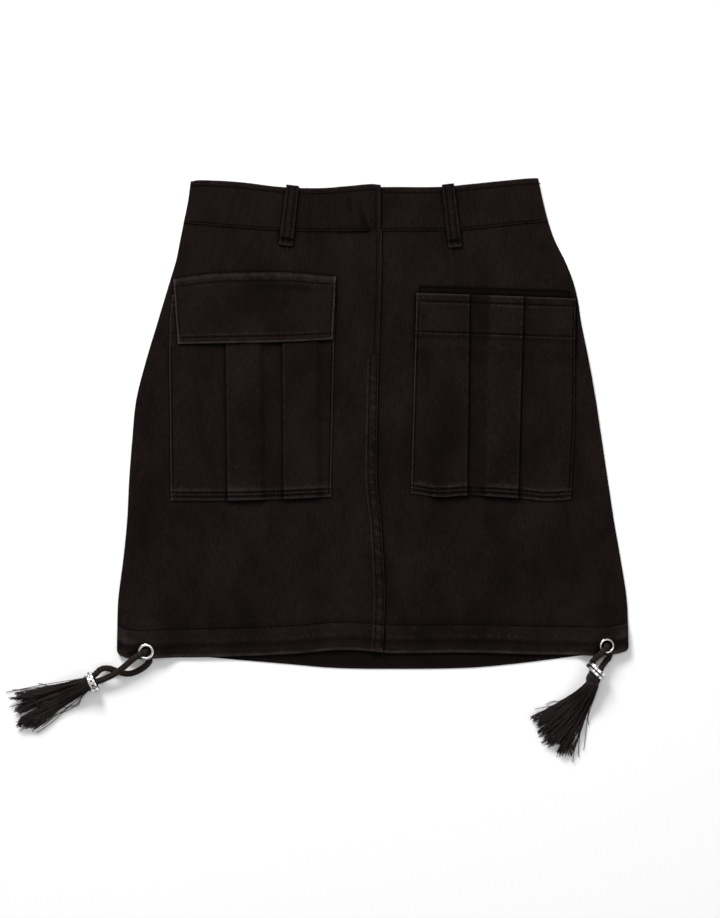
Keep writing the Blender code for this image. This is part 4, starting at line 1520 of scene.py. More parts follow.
@dataclass
class BeltLoop:
    """A strap that turns down at the waist edge and is tacked below the band."""

    side: Side
    form: SkirtForm = FORM
    cloth: float = 1.4
    row_offset: float = 2.9
    tack_half: float = 5.6

    def ends(self) -> tuple[Vector, Vector, float, float]:
        """Its top, its foot and its width at each.

        Returns:
            The top, the foot, and the width at the top and at the foot.
        """
        if self.side is Side.LEFT:
            return Vector((-76.0, 226.3)), Vector((-82.7, 168.9)), 12.0, 13.4
        return Vector((71.3, 227.5)), Vector((78.4, 167.2)), 11.4, 12.8

    def sections(self, length: float) -> tuple[LoopPoint, ...]:
        """The strap's sections, from its turn at the waist edge to its foot.

        Args:
            length: How long the strap is, in mm.

        Returns:
            The sections in order.
        """
        form, cloth = self.form, self.cloth
        on_band = form.front_base + form.double + form.gap
        on_front = form.front_base + form.cloth + form.gap
        turn = cloth * 0.9
        at_turn = (
            LoopPoint(0.0, 1.6, turn, 1.6),
            LoopPoint(0.0, on_band + 0.5, turn, on_band + 0.1),
            LoopPoint(0.25, on_band + cloth * 0.75, 1.1, on_band),
            LoopPoint(0.9, on_band + cloth, 1.4, on_band),
        )
        lifts = ((6.0, 0.6), (14.0, 0.9), (22.0, 0.8), (30.0, 0.7), (38.0, 0.35), (44.0, 0.0))
        over_band = tuple(LoopPoint(down, on_band + cloth + up, down, on_band + up) for down, up in lifts)
        doubled = on_front + 2 * cloth
        rows = (
            (46.5, doubled + 0.1, 0.5),
            (49.5, doubled, 0.1),
            (length - 6.0, doubled - 0.9, 0.1),
            (length - 5.0, doubled - 0.9, 0.1),
            (length - 3.6, doubled, 0.1),
            (length - 1.0, doubled - 0.1, 0.1),
            (length - 0.25, on_front + 1.4 * cloth, 0.3),
            (length, on_front + cloth, 0.8),
        )
        return at_turn + over_band + tuple(LoopPoint(down, z, down, on_front + up) for down, z, up in rows)

    def build(self) -> None:
        """Builds the loop in its node's place, with its stitches."""
        top, foot, top_width, foot_width = self.ends()
        length = (foot - top).length
        down = np.array((foot - top).normalized())
        aside = np.array((-down[1], down[0]))
        points = self.sections(length)
        table = np.array(points)
        dense = np.unique(np.concatenate([np.linspace(0, len(points) - 1, 90), np.arange(len(points))]))
        columns = [np.interp(dense, np.arange(len(points)), table[:, k]) for k in range(4)]
        shares = np.array([-0.5, -0.49, -0.47, -0.43, -0.36, -0.2, 0, 0.2, 0.36, 0.43, 0.47, 0.49, 0.5])
        width = mix(top_width, foot_width, columns[0] / length)
        waist = 1 - 0.05 * bump(columns[0] - length + 5.5, 2.5)
        across = (width * waist)[:, None] * shares
        start = np.array(top)
        outer_xy = start + columns[0][:, None, None] * down + across[..., None] * aside
        inner_xy = start + columns[2][:, None, None] * down + across[..., None] * aside
        from_side = (0.5 - np.abs(shares)) * width[:, None]
        drop = rounded_drop(from_side, 0.6)
        seam = 0.22 * bump(from_side - 2.4, 1.0) * ease(columns[0] / 3)[:, None]
        wave = 0.1 * ripple(columns[0], 9, 2.0 + self.side.value)[:, None]
        upper, lower = columns[1][:, None], columns[3][:, None]
        outer_z = upper - np.minimum(drop, upper * 0.5) - seam + wave * (drop < 0.5)
        inner_z = np.minimum(lower + drop * 0.6, outer_z - 0.05)
        worn = 0.24 * bump(from_side - 0.4, 0.8) + 0.3 * bump(columns[0] - length + 0.8, 1.4)[:, None]
        worn = worn + 0.1 * bump(from_side - 6.0, 3.0) * (1 + ripple(columns[0], 5, 3.0))[:, None]
        outer = np.concatenate([outer_xy, outer_z[..., None]], -1)
        inner = np.concatenate([inner_xy, inner_z[..., None]], -1)
        label = self.side.label
        made = denim_piece(f"belt_loop_{label}", f"belt_loop_{label}", outer, inner, np.clip(worn, 0, 1))
        self.sew(outer, start, down, aside, length)

    def sew(self, outer: Array, start: Array, down: Array, aside: Array, length: float) -> None:
        """The loop's two rows of stitches and its bar tack.

        Args:
            outer: The strap's outer points.
            start: Its top, seen from above.
            down: The way down the strap.
            aside: The way across it.
            length: How long it is.
        """
        line = outer[:, 6]
        run = (line[:, :2] - start) @ down

        def surface(x: Array, y: Array) -> Array:
            """Height of the strap's upper side."""
            at = (np.stack([x, y], -1) - start) @ down
            return np.interp(at, run, line[:, 2])

        parts = Parts()
        for offset in (-self.row_offset, self.row_offset):
            path = [start + down * at + aside * offset for at in (2.0, length - 2.0)]
            StitchRow(tuple(map(tuple, path)), pitch=2.6).lay(parts, surface, 0.4)
        for at in np.arange(length - 7.4, length - 4.4, 0.6):
            path = [start + down * at + aside * offset for offset in (-self.tack_half, self.tack_half)]
            StitchRow(tuple(map(tuple, path)), pitch=2.2, share=0.95, rise=0.35).lay(parts, surface, 0.5)
        parts.build(f"stitches_belt_loop_{self.side.label}", Finish.STITCH)


@dataclass(frozen=True)
class TuckedFlap:
    """The right pocket's flap, which hangs down inside it and shows only at its root."""

    form: SkirtForm = FORM
    cloth: float = 1.6
    length: float = 56.0
    ends: tuple[float, float] = (44.6, 186.4)
    top: Profile = Profile(((43, 130.4), (187, 125.6)))

    def build(self) -> None:
        """Builds the flap in its node's place."""
        radius, width = self.cloth / 2, self.ends[1] - self.ends[0]
        wide, deep = between_edges(width, radius, 2.0), between_edges(self.length, radius, 1.6)
        across, down = np.meshgrid(np.array(wide), np.array(deep))
        x = self.ends[0] + across
        y = self.top.at(x) - self.length + down
        drop = np.maximum(edges_drop(down, self.length, radius), edges_drop(across, width, radius))
        base = self.form.front_top(x, y) + self.form.gap
        wave = 0.18 * ripple(x, 37, 1.0) * bump(self.length - down, 8)
        top = base + self.cloth + wave - drop
        # Painted shade: the flap's root is darkened almost to black where it sinks into the pocket's mouth,
        # except for a faint line about 3 mm below its top.
        worn = 0.95 * bump(self.length - down - 3.1, 0.8) - 1.0
        under = np.minimum(base + drop, top)
        made = denim_piece("flap_right", "pocket_flap_right", skin(x, y, top), skin(x, y, under), worn)


def straight(start: Point, end: Point, count: int) -> list[Point]:
    """Points between two ends of a line, without the ends."""
    return [(mix(start[0], end[0], k / count), mix(start[1], end[1], k / count)) for k in range(1, count)]


class PocketRow(NamedTuple):
    """A pocket's edges and folds at one height, from the side seam to the centre."""

    y: float
    side: float
    outer_fold: float
    inner_fold: float
    centre: float


@dataclass
class PleatedPocket:
    """A patch pocket whose two knife pleats face the side seam, with a hemmed mouth."""

    side: Side
    form: SkirtForm = FORM
    cloth: float = 1.0
    pleat_depth: float = 31.0
    flap: TuckedFlap = TuckedFlap()
    flap_fade: float = 14.0
    mouth_hem: float = 39.0
    length: float = 195.0
    bottom_rows: tuple[float, float] = (3.9, 7.6)
    mouth_rows: tuple[float, float] = (7.2, 36.2)
    side_row: float = 2.0
    turn: Pairs = (
        (1.4, 0.0), (0.7, 0.03), (0.25, 0.12), (0.05, 0.3), (0.0, 0.5), (0.05, 0.7), (0.25, 0.88),
        (0.7, 0.97), (1.4, 1.0),
    )

    def rows(self) -> tuple[PocketRow, ...]:
        """The pocket's edges and folds at a few heights.

        Returns:
            The rows, from the lowest to the highest.
        """
        if self.side is Side.LEFT:
            return (
                PocketRow(-73, -191.7, -137.5, -84.3, -39.8),
                PocketRow(3, -192.6, -138.5, -84.8, -38.2),
                PocketRow(89, -193.1, -139.4, -85.6, -36.3),
                PocketRow(125, -190.4, -140.4, -85.9, -35.1),
            )
        return (
            PocketRow(-73, 188.1, 138.0, 89.5, 36.2),
            PocketRow(4, 191.7, 139.9, 90.5, 38.2),
            PocketRow(80, 192.2, 142.0, 91.4, 40.4),
            PocketRow(125, 192.6, 143.2, 91.9, 41.7),
        )

    def bottom(self) -> Profile:
        """The pocket's lower edge.

        Returns:
            Its height at each place across.
        """
        if self.side is Side.LEFT:
            return Profile(((-195, -73.2), (-137, -73.2), (-84, -71.7), (-35, -69.4)))
        return Profile(((34, -66.0), (63, -69.8), (90, -68.4), (137, -70.8), (166, -73.6), (195, -71.4)))

    def mouth(self) -> Profile:
        """The pocket's upper edge.

        Returns:
            Its height at each place across.
        """
        if self.side is Side.LEFT:
            return Profile(((-195, 122.0), (-35, 123.0)))
        return Profile(((36, 124.2), (195, 118.6)))

    def line(self, column: int) -> Profile:
        """One of the pocket's edges or folds, as X at each height."""
        return Profile(tuple((row.y, row[column]) for row in self.rows()))

    def at_height(self, y: float) -> PocketRow:
        """The pocket's edges and folds at one height."""
        return PocketRow(y, *(float(self.line(column).at(y)) for column in range(1, len(PocketRow._fields))))

    def section(self, row: PocketRow) -> list[Point]:
        """The middle line of the cloth across one row, as places and levels of layers.

        Args:
            row: The row's edges and folds.

        Returns:
            Places across, and levels in layers of cloth.
        """
        inward = self.side.value
        steps = edge_steps(self.cloth / 2)
        line = [(row.side + inward * step, 0.0) for step in steps + run_of(0.5, 16.0, 1.3)]
        for fold, count in ((row.outer_fold, 34), (row.inner_fold, 24)):
            hidden = fold + inward * self.pleat_depth
            start = line[-1][0]
            turns = [
                [(place - facing * inward * back, level + up) for back, up in self.turn]
                for place, facing, level in ((hidden, 1, 0), (fold, -1, 1))
            ]
            line += straight((start, 0.0), turns[0][0], count) + turns[0]
            line += straight(turns[0][-1], turns[1][0], 7) + turns[1]
            tail = (hidden - inward * 1.0, 2.0)
            line += straight(turns[1][-1], tail, 26)
            line += [(hidden + inward * past, level) for past, level in self.tail()]
        line += straight(line[-1], (row.centre - inward * 0.5, 0.0), 12)
        return line + [(row.centre - inward * step, 0.0) for step in steps[::-1]]

    def tail(self) -> Pairs:
        """How the cloth settles behind a pleat: how far past its hidden fold, and the layers up."""
        return ((-1.0, 2.0), (0.2, 1.85), (1.4, 1.4), (2.6, 0.9), (3.9, 0.42), (5.2, 0.12), (6.4, 0.0))

    def floor(self, x: Array, y: Array) -> Array:
        """Height that the pocket's first layer lies on.

        Args:
            x: Places across the skirt, in mm.
            y: Places up the skirt, in mm.

        Returns:
            The height at each place, in mm.
        """
        floor = self.form.front_top(x, y) + self.form.gap
        if self.side is Side.RIGHT:
            flap_end = self.flap.top.at(x) - self.flap.length
            floor = floor + (self.flap.cloth + self.form.gap) * ease((y - flap_end) / self.flap_fade + 1)
        return floor

    def relief(self, x: Array, y: Array, bare: Array) -> Array:
        """Hems, stitch dents and soft waves of the pocket's outer side.

        Args:
            x: Places across.
            y: Places up the skirt.
            bare: 1 where the cloth's outer side shows, 0 where it is folded under.

        Returns:
            The change of its height.
        """
        above, below = y - self.bottom().at(x), self.mouth().at(x) - y
        from_side, from_centre = np.abs(x - self.line(1).at(y)), np.abs(x - self.line(4).at(y))
        rise = 0.35 * ease((self.mouth_hem - below) / 0.9) if self.side is Side.RIGHT else 0.0 * x
        rows = (above - self.bottom_rows[0], above - self.bottom_rows[1])
        rows += (below - self.mouth_rows[0], below - self.mouth_rows[1])
        for seed, (row, depth) in enumerate(zip(rows, (0.26, 0.24, 0.26, 0.26)), start=1):
            rise = rise + groove(row, x, depth, float(seed))
        rise += groove(from_side - self.side_row, y, 0.12, 5.0)
        rise += groove(from_centre - self.side_row, y, 0.12, 6.0)
        rise += 0.15 * ease((11.0 - above) / 1.5) + 0.12 * ripple(x + 0.4 * y, 31, 2.0) * ripple(y, 43, 1.0)
        rise += 0.10 * ripple(x, 9, 4.0) * bump(above - 9, 9)
        return np.clip(rise, -0.45, 0.6) * bare

    def skins(self) -> tuple[Array, Array, Array, Array]:
        """The outer and inner skins, how worn the outer is, and where it shows.

        Returns:
            Two grids of points and two of numbers.
        """
        form, inward = self.form, self.side.value
        layer, radius = self.cloth + form.gap, self.cloth / 2
        steps = edge_steps(radius)
        distances = steps + run_of(radius, 12.0, 0.9) + run_of(12.0, self.length - 42.0, 2.2)
        distances += run_of(self.length - 42.0, self.length - radius, 1.1) + mirrored(steps, self.length)
        outer, inner, shown = [], [], []
        for distance in distances:
            share = distance / self.length
            middle = mix(float(self.bottom().at(0.0)), float(self.mouth().at(0.0)), share)
            line = np.array(self.section(self.at_height(middle)))
            y = mix(self.bottom().at(line[:, 0]), self.mouth().at(line[:, 0]), share)
            flat = np.stack([line[:, 0], radius + line[:, 1] * layer], -1)
            heading = np.gradient(flat, axis=0)
            heading /= np.linalg.norm(heading, axis=1)[:, None]
            across = np.stack([-heading[:, 1], heading[:, 0]], -1) * inward * self.cloth / 2
            thin = 1 - float(edges_drop(distance, self.length, radius)) / radius * 0.96
            ends = np.minimum(np.abs(line[:, 0] - line[0, 0]), np.abs(line[:, 0] - line[-1, 0]))
            thin = thin * (1 - rounded_drop(np.where(line[:, 1] > 0, 9.0, ends), radius) / radius)
            floor = self.floor(line[:, 0], y)
            for rows, sign in ((outer, 1.0), (inner, -1.0)):
                moved = flat + sign * across * np.maximum(thin, 0.03)[:, None]
                rows.append(skin(moved[:, 0], y, moved[:, 1] + floor))
            shown.append(np.where(heading[:, 0] * inward > 0.6, 1.0, 0.0))
        outer, inner, shows = np.array(outer), np.array(inner), np.array(shown)
        outer[..., 2] += self.relief(outer[..., 0], outer[..., 1], shows * self.on_top(outer))
        return outer, inner, self.wear(outer, shows), shows

    def on_top(self, outer: Array) -> Array:
        """1 where the outer skin isn't under a pleat.

        Args:
            outer: The outer skin's points.

        Returns:
            1 or 0 for each point.
        """
        x, y = outer[..., 0], outer[..., 1]
        covered = np.zeros_like(x)
        low = outer[..., 2] - self.floor(x, y) < self.cloth * 1.5
        for column in (2, 3):
            past = (x - self.line(column).at(y)) * self.side.value
            hidden = (past > 0.2) & (past < self.pleat_depth + 0.2) & low
            covered = np.maximum(covered, hidden.astype(float))
        return 1 - covered

    def wear(self, outer: Array, shows: Array) -> Array:
        """How rubbed the outer skin is: most at edges, folds and hems; plus painted shade and painted light.

        Args:
            outer: The outer skin's points.
            shows: 1 where a point isn't under a pleat.

        Returns:
            The wear at each point.
        """
        x, y = outer[..., 0], outer[..., 1]
        above, below = y - self.bottom().at(x), self.mouth().at(x) - y
        from_line = {column: (x - self.line(column).at(y)) * self.side.value for column in range(1, 5)}
        outer_wear = 0.44 if self.side is Side.LEFT else 0.16
        worn = outer_wear * bump(from_line[1] - 0.4, 0.9) + 0.46 * bump(from_line[4] + 0.4, 0.9)
        for row in self.bottom_rows:
            worn += sewn(above - row)
        for row in self.mouth_rows:
            worn += sewn(below - row)
        worn += 0.2 * bump(from_line[2] - 0.4, 1.1) + 0.2 * bump(from_line[3] - 0.4, 1.1)
        # Painted shade in the lower layer beside each pleat's fold and in the valley between the folds.
        hollows = (0.6, 0.16) if self.side is Side.LEFT else (0.5, 0.5)
        worn -= hollows[0] * bump(from_line[2] + 1.3, 1.1) + hollows[1] * bump(from_line[3] + 1.3, 1.1)
        worn += 0.12 * bump(above - 10.5, 5.0) * (0.6 + 0.6 * ripple(x, 26, 5.0))
        valley = ease((from_line[2] - self.pleat_depth + 1) / 3) * ease((1 - from_line[3]) / 2)
        worn -= (0.3 if self.side is Side.RIGHT else 0.06) * valley
        # Painted light on the raised strip of three layers.
        worn += 0.05 * ease((self.pleat_depth - from_line[2]) / 2) * ease(from_line[2] / 2)
        worn += 0.36 * bump(above - 0.4, 1.0) + 0.42 * bump(below - 0.4, 1.2)
        # Along the right mouth's hem: a rubbed edge, and painted shade just under it.
        worn += (0.16 * bump(below - 38.2, 0.8) - 0.4 * bump(below - 41.0, 1.7)) * (self.side is Side.RIGHT)
        worn += 0.10 * bump(above - 10.5, 1.6) + 0.10 * bump(below - 9.6, 1.6)
        # Painted light on the ridge of the cloth folded under the pleat.
        middles = tuple((row.y, mix(row.outer_fold, row.inner_fold, 0.62)) for row in self.rows())
        ridge = x - Profile(middles).at(y)
        worn += 0.04 * bump(ridge, 2.4) + 0.05 * ripple(y, 26, 2.0) * bump(from_line[3] - 3, 5)
        return np.clip(worn, -0.6, 1) * np.maximum(shows, 0.3)

    def surface(self) -> Height:
        """Height of the pocket's upper side, for its stitches.

        Returns:
            The function that gives the height.
        """
        outer, _, _, shows = self.skins()

        def top(x: Array, y: Array) -> Array:
            """Height of the uppermost layer at each place.

            Args:
                x: Places across the skirt, in mm.
                y: Places up the skirt, in mm.

            Returns:
                The height at each place, in mm.
            """
            rows = np.abs(outer[:, 0, 1][:, None] - y.reshape(-1)).argmin(axis=0)
            found = []
            for row, place in zip(rows, x.reshape(-1)):
                line = outer[row]
                lit = line[(shows[row] > 0.5) & (np.abs(line[:, 0] - place) < 3.0)]
                found.append(lit[:, 2].max() if len(lit) else line[np.abs(line[:, 0] - place).argmin(), 2])
            return np.array(found).reshape(x.shape)

        return top

    def build(self) -> None:
        """Builds the pocket in its node's place and sews it."""
        label, skins = self.side.label, self.skins()
        made = denim_piece(f"pocket_{label}", f"pocket_{label}", *skins[:3])
        self.sew()

    def sew(self) -> None:
        """Two rows along the bottom, one down each side, and two along a mouth that shows."""
        parts = Parts()
        surface, inward = self.surface(), self.side.value
        ends = sorted((self.rows()[0].side, self.rows()[0].centre))
        across = np.linspace(ends[0] + 5.0, ends[1] - 5.0, 60)
        for above in self.bottom_rows:
            path = line_along(across, lambda x, up=above: self.bottom().at(x) + up)
            StitchRow(path).lay(parts, surface, 0.35)
        top = 74.0 if self.side is Side.LEFT else 116.0
        for column, inset in ((1, inward * self.side_row), (4, -inward * self.side_row)):
            y = np.linspace(-66.0, top, 70)
            path = line_up(y, lambda at, k=column, step=inset: self.line(k).at(at) + step)
            StitchRow(path).lay(parts, surface, 0.3)
        if self.side is Side.RIGHT:
            across = np.linspace(45.5, 188.0, 60)
            for below in self.mouth_rows:
                path = line_along(across, lambda x, down=below: self.mouth().at(x) - down)
                StitchRow(path).lay(parts, surface, 0.35)
        parts.build(f"stitches_pocket_{self.side.label}", Finish.STITCH)


@dataclass
class PocketFlap:
    """The left pocket's flap, which lies over its mouth and is lifted by the pleats."""

    form: SkirtForm = FORM
    cloth: float = 1.6
    top: Profile = Profile(((-190, 137.3), (-157, 142.0), (-117, 143.5), (-80, 143.5), (-35, 139.7)))
    bottom: Profile = Profile(((-190, 75.4), (-84, 77.4), (-37, 79.9)))
    side_edge: Profile = Profile(((76, -185.0), (137, -189.5)))
    centre_edge: Profile = Profile(((80, -38.0), (140, -34.9)))
    lift: Profile = Profile(
        ((-190, 1.9), (-160, 2.7), (-141, 4.3), (-112, 4.3), (-98, 3.4), (-86, 4.3), (-56, 4.3), (-35, 2.6))
    )
    length: float = 66.0
    width: float = 152.0
    top_row: float = 8.2
    bottom_row: float = 6.2
    end_row: float = 2.4

    def base(self, x: Array, y: Array) -> Array:
        """Height of the flap's underside."""
        over_mouth = ease((self.top.at(x) - y - 2) / 14)
        return self.form.front_top(x, y) + mix(self.form.gap, self.lift.at(x), over_mouth)

    def relief(self, x: Array, y: Array) -> Array:
        """The turned-in edges, the ridge above the top row of stitches and the rows' dents.

        Args:
            x: Places across the skirt, in mm.
            y: Places up the skirt, in mm.

        Returns:
            The relief at each place, in mm.
        """
        below, above = self.top.at(x) - y, y - self.bottom.at(x)
        ends = np.minimum(x - self.side_edge.at(y), self.centre_edge.at(y) - x)
        rise = 0.5 * bump(below - 3.6, 2.6) * (1 + 0.25 * ripple(x, 24, 2.0)) - 0.35 * bump(below - 11.8, 2.4)
        rise += groove(below - self.top_row, x, 0.42, 1.0) + groove(above - self.bottom_row, x, 0.26, 2.0)
        rise += groove(ends - self.end_row, y, 0.14, 3.0)
        rise += 0.14 * ripple(x + 0.3 * y, 36, 3.0) * ripple(y, 30, 4.0)
        rise += Ridge(-58, 135, 88, 6, 2.0, -0.35).rise(x, y) + Ridge(-76, 139, 90, 5, 0.9, -0.4).rise(x, y)
        rise += Ridge(-52, 88, 55, 9, 4.0, 0.3).rise(x, y) + Ridge(-150, 138, 92, 6, 2.2, 0.25).rise(x, y)
        return rise

    def surface(self, x: Array, y: Array) -> Array:
        """Height of the flap's upper side."""
        return self.base(x, y) + self.cloth + self.relief(x, y)

    def build(self) -> None:
        """Builds the flap in its node's place and sews it."""
        radius = self.cloth / 2
        deep, wide = between_edges(self.length, radius, 0.9), np.array(between_edges(self.width, radius, 1.5))
        xs, ys = [], []
        for distance in deep:
            x = mix(-188.0, -36.0, wide / self.width)
            for _ in range(3):
                y = mix(self.bottom.at(x), self.top.at(x), distance / self.length)
                x = mix(self.side_edge.at(y), self.centre_edge.at(y), wide / self.width)
            xs.append(x)
            ys.append(y)
        x, y = np.array(xs), np.array(ys)
        up, across = np.array(deep)[:, None], wide[None, :]
        down, from_end = self.length - up, np.minimum(across, self.width - across)
        drop = np.maximum(edges_drop(up, self.length, radius), rounded_drop(from_end, radius))
        top = self.surface(x, y) - drop
        under = np.minimum(self.base(x, y) + drop, top)
        worn = 0.8 * bump(up - 0.5, 1.2) + 0.34 * bump(down - 2.4, 2.6) + 0.8 * bump(from_end - 0.5, 1.1)
        worn = worn * (0.85 + 0.25 * ripple(x + y, 23, 3.0)) + 0.1 * bump(up - 8.4, 1.6)
        worn = worn + sewn(up - self.bottom_row) + sewn(down - self.top_row)
        # Painted shade: a dark band just under the top row of stitches, in the hollow under the rolled top,
        # strongest near x = -78 mm.
        worn = np.clip(worn - 0.6 * bump(down - 14.0, 3.2) * (0.2 + 0.8 * bump(x + 78, 26)), -0.6, 1)
        made = denim_piece("flap_left", "pocket_flap_left", skin(x, y, top), skin(x, y, under), worn)
        self.sew()

    def sew(self) -> None:
        """The rows along the flap's top, its bottom and both ends."""
        parts = Parts()
        x = np.linspace(-182.0, -41.0, 60)
        high = line_along(x, lambda at: self.top.at(at) - self.top_row)
        StitchRow(high).lay(parts, self.surface, 0.25)
        low = line_along(x, lambda at: self.bottom.at(at) + self.bottom_row)
        StitchRow(low).lay(parts, self.surface, 0.35)
        for edge, inset in ((self.side_edge, self.end_row), (self.centre_edge, -self.end_row)):
            path = line_up(np.linspace(83.0, 130.0, 24), lambda y, line=edge, step=inset: line.at(y) + step)
            StitchRow(path).lay(parts, self.surface, 0.3)
        parts.build("stitches_flap_left", Finish.STITCH)


# Eyelets, cords, beads and tassels


def add_turned(parts: Parts, profile: Pairs, centre: Vector, axis: Vector, steps: int) -> None:
    """Adds a ring turned from a closed outline.

    Args:
        parts: The mesh to add it to.
        profile: The outline's points, as radius and height along the axis.
        centre: The ring's centre.
        axis: The way its axis points.
        steps: How many steps make a full turn.
    """
    turn = axis.to_track_quat("Z", "Y").to_matrix()
    angle = np.arange(steps) * math.tau / steps
    radius, height = np.array(profile).T
    radius, height = radius[:, None], height[:, None]
    ring = np.stack([radius * np.cos(angle), radius * np.sin(angle), height + 0 * angle], -1)
    points = ring.reshape(-1, 3) @ np.array(turn).T + np.array(centre)
    r, c = np.meshgrid(np.arange(len(profile)), np.arange(steps), indexing="ij")
    here, below, after = r * steps, (r + 1) % len(profile) * steps, (c + 1) % steps
    faces = np.stack([here + c, here + after, below + after, below + c], -1).reshape(-1, 4)
    parts.add(points, turned_outwards(points, faces))


def heading(degrees: float) -> Vector:
    """A level direction, in degrees from +X towards +Y."""
    return Vector((math.cos(math.radians(degrees)), math.sin(math.radians(degrees)), 0))


def smooth_route(points: Route, spacing: float) -> Array:
    """Evenly spaced points of a smooth curve through a cord's route.

    Args:
        points: The points that the curve goes through.
        spacing: The distance from point to point, in mm.

    Returns:
        The curve's points.
    """
    route = np.array(points, float)
    before = np.concatenate([route[:1], route[:-1]])
    after = np.concatenate([route[1:], route[-1:]])
    slope = (after - before) / 2
    fine = []
    for k in range(len(route) - 1):
        t = np.arange(12)[:, None] / 12
        bend = slope[k] * t * (1 - t) ** 2 - slope[k + 1] * t * t * (1 - t)
        fine.append(mix(route[k], route[k + 1], ease(t)) + bend)
    line = np.concatenate([*fine, route[-1:]])
    run = np.concatenate([[0.0], np.cumsum(np.linalg.norm(np.diff(line, axis=0), axis=1))])
    at = np.linspace(0, run[-1], round(run[-1] / spacing) + 1)
    return np.stack([np.interp(at, run, line[:, k]) for k in range(3)], -1)


def tubes(paths: Array, radii: Array, sides: int, swell: Array | None = None) -> tuple[Array, Array]:
    """Tubes along several lines of equal length, closed at their ends.

    Args:
        paths: The lines, as lines, points and XYZ.
        radii: The radius at each point of each line.
        sides: How many sides a tube has.
        swell: A factor on the radius at each point and side, or None.

    Returns:
        The tubes' points and faces.
    """
    count, steps = paths.shape[:2]
    tangent = np.gradient(paths, axis=1)
    tangent /= np.linalg.norm(tangent, axis=2, keepdims=True) + 1e-9
    aside = np.cross(tangent, (0.0, 0.0, 1.0))
    for k in range(1, steps):
        last = aside[:, k - 1] - tangent[:, k] * np.sum(aside[:, k - 1] * tangent[:, k], -1, keepdims=True)
        aside[:, k] = last
    for k in range(steps):
        aside[:, k] /= np.linalg.norm(aside[:, k], axis=-1, keepdims=True) + 1e-9
        if k + 1 < steps:
            bend = tangent[:, k + 1] * np.sum(aside[:, k] * tangent[:, k + 1], -1, keepdims=True)
            aside[:, k + 1] = aside[:, k] - bend
    up = np.cross(aside, tangent)
    angle = np.arange(sides) * math.tau / sides
    girth = radii[..., None] * (1.0 if swell is None else swell)
    points = paths[:, :, None] + girth[..., None] * (
        aside[:, :, None] * np.cos(angle)[:, None] + up[:, :, None] * np.sin(angle)[:, None]
    )
    body = grid_faces(steps, sides, closed=True)[:, ::-1]
    faces = (body[None] + (np.arange(count) * steps * sides)[:, None, None]).reshape(-1, 4)
    return points.reshape(-1, 3), faces


@dataclass
class Eyelet:
    """A rolled rim on the face of the hem, a barrel through it and a washer behind it."""

    side: Side
    form: SkirtForm = FORM
    hole: float = 4.7
    barrel: float = 5.2
    rim: float = 7.6
    washer: float = 6.6
    rim_height: float = 1.2
    washer_thickness: float = 0.5

    @classmethod
    def on(cls, side: Side) -> Eyelet:
        """The eyelet on one side. The right one's rim shows slimmer."""
        return cls(side) if side is Side.LEFT else cls(side, hole=4.95, rim=7.0)

    def profile(self) -> Pairs:
        """The outline that it is turned from.

        Returns:
            Radius and place along the axis, point by point.
        """
        gap, grip = self.form.gap, self.form.double + self.form.gap
        foot = -grip - self.washer_thickness
        middle, reach = (self.hole + self.rim) / 2, (self.rim - self.hole) / 2
        crown = []
        for k in range(13):
            angle = math.pi * (1 - k / 12)
            lift = max(math.sin(angle), 0.0) ** 0.75
            crown.append((middle + reach * math.cos(angle), gap + 0.1 + (self.rim_height - gap - 0.1) * lift))
        return (
            (self.hole, foot),
            *crown,
            (self.rim - 0.15, gap),
            (self.barrel, gap),
            (self.barrel, -grip),
            (self.washer - 0.2, -grip),
            (self.washer, -grip - 0.2),
            (self.washer - 0.2, foot),
        )

    def build(self) -> None:
        """Builds the eyelet in its node's place."""
        seat = self.form.seat(self.side)
        parts = Parts()
        add_turned(parts, self.profile(), Vector((seat.x, seat.y, seat.z)), seat.normal, 72)
        made = parts.build(f"metal_eyelet_{self.side.label}", Finish.EYELET, 35.0)
        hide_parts(f"eyelet_{self.side.label}")


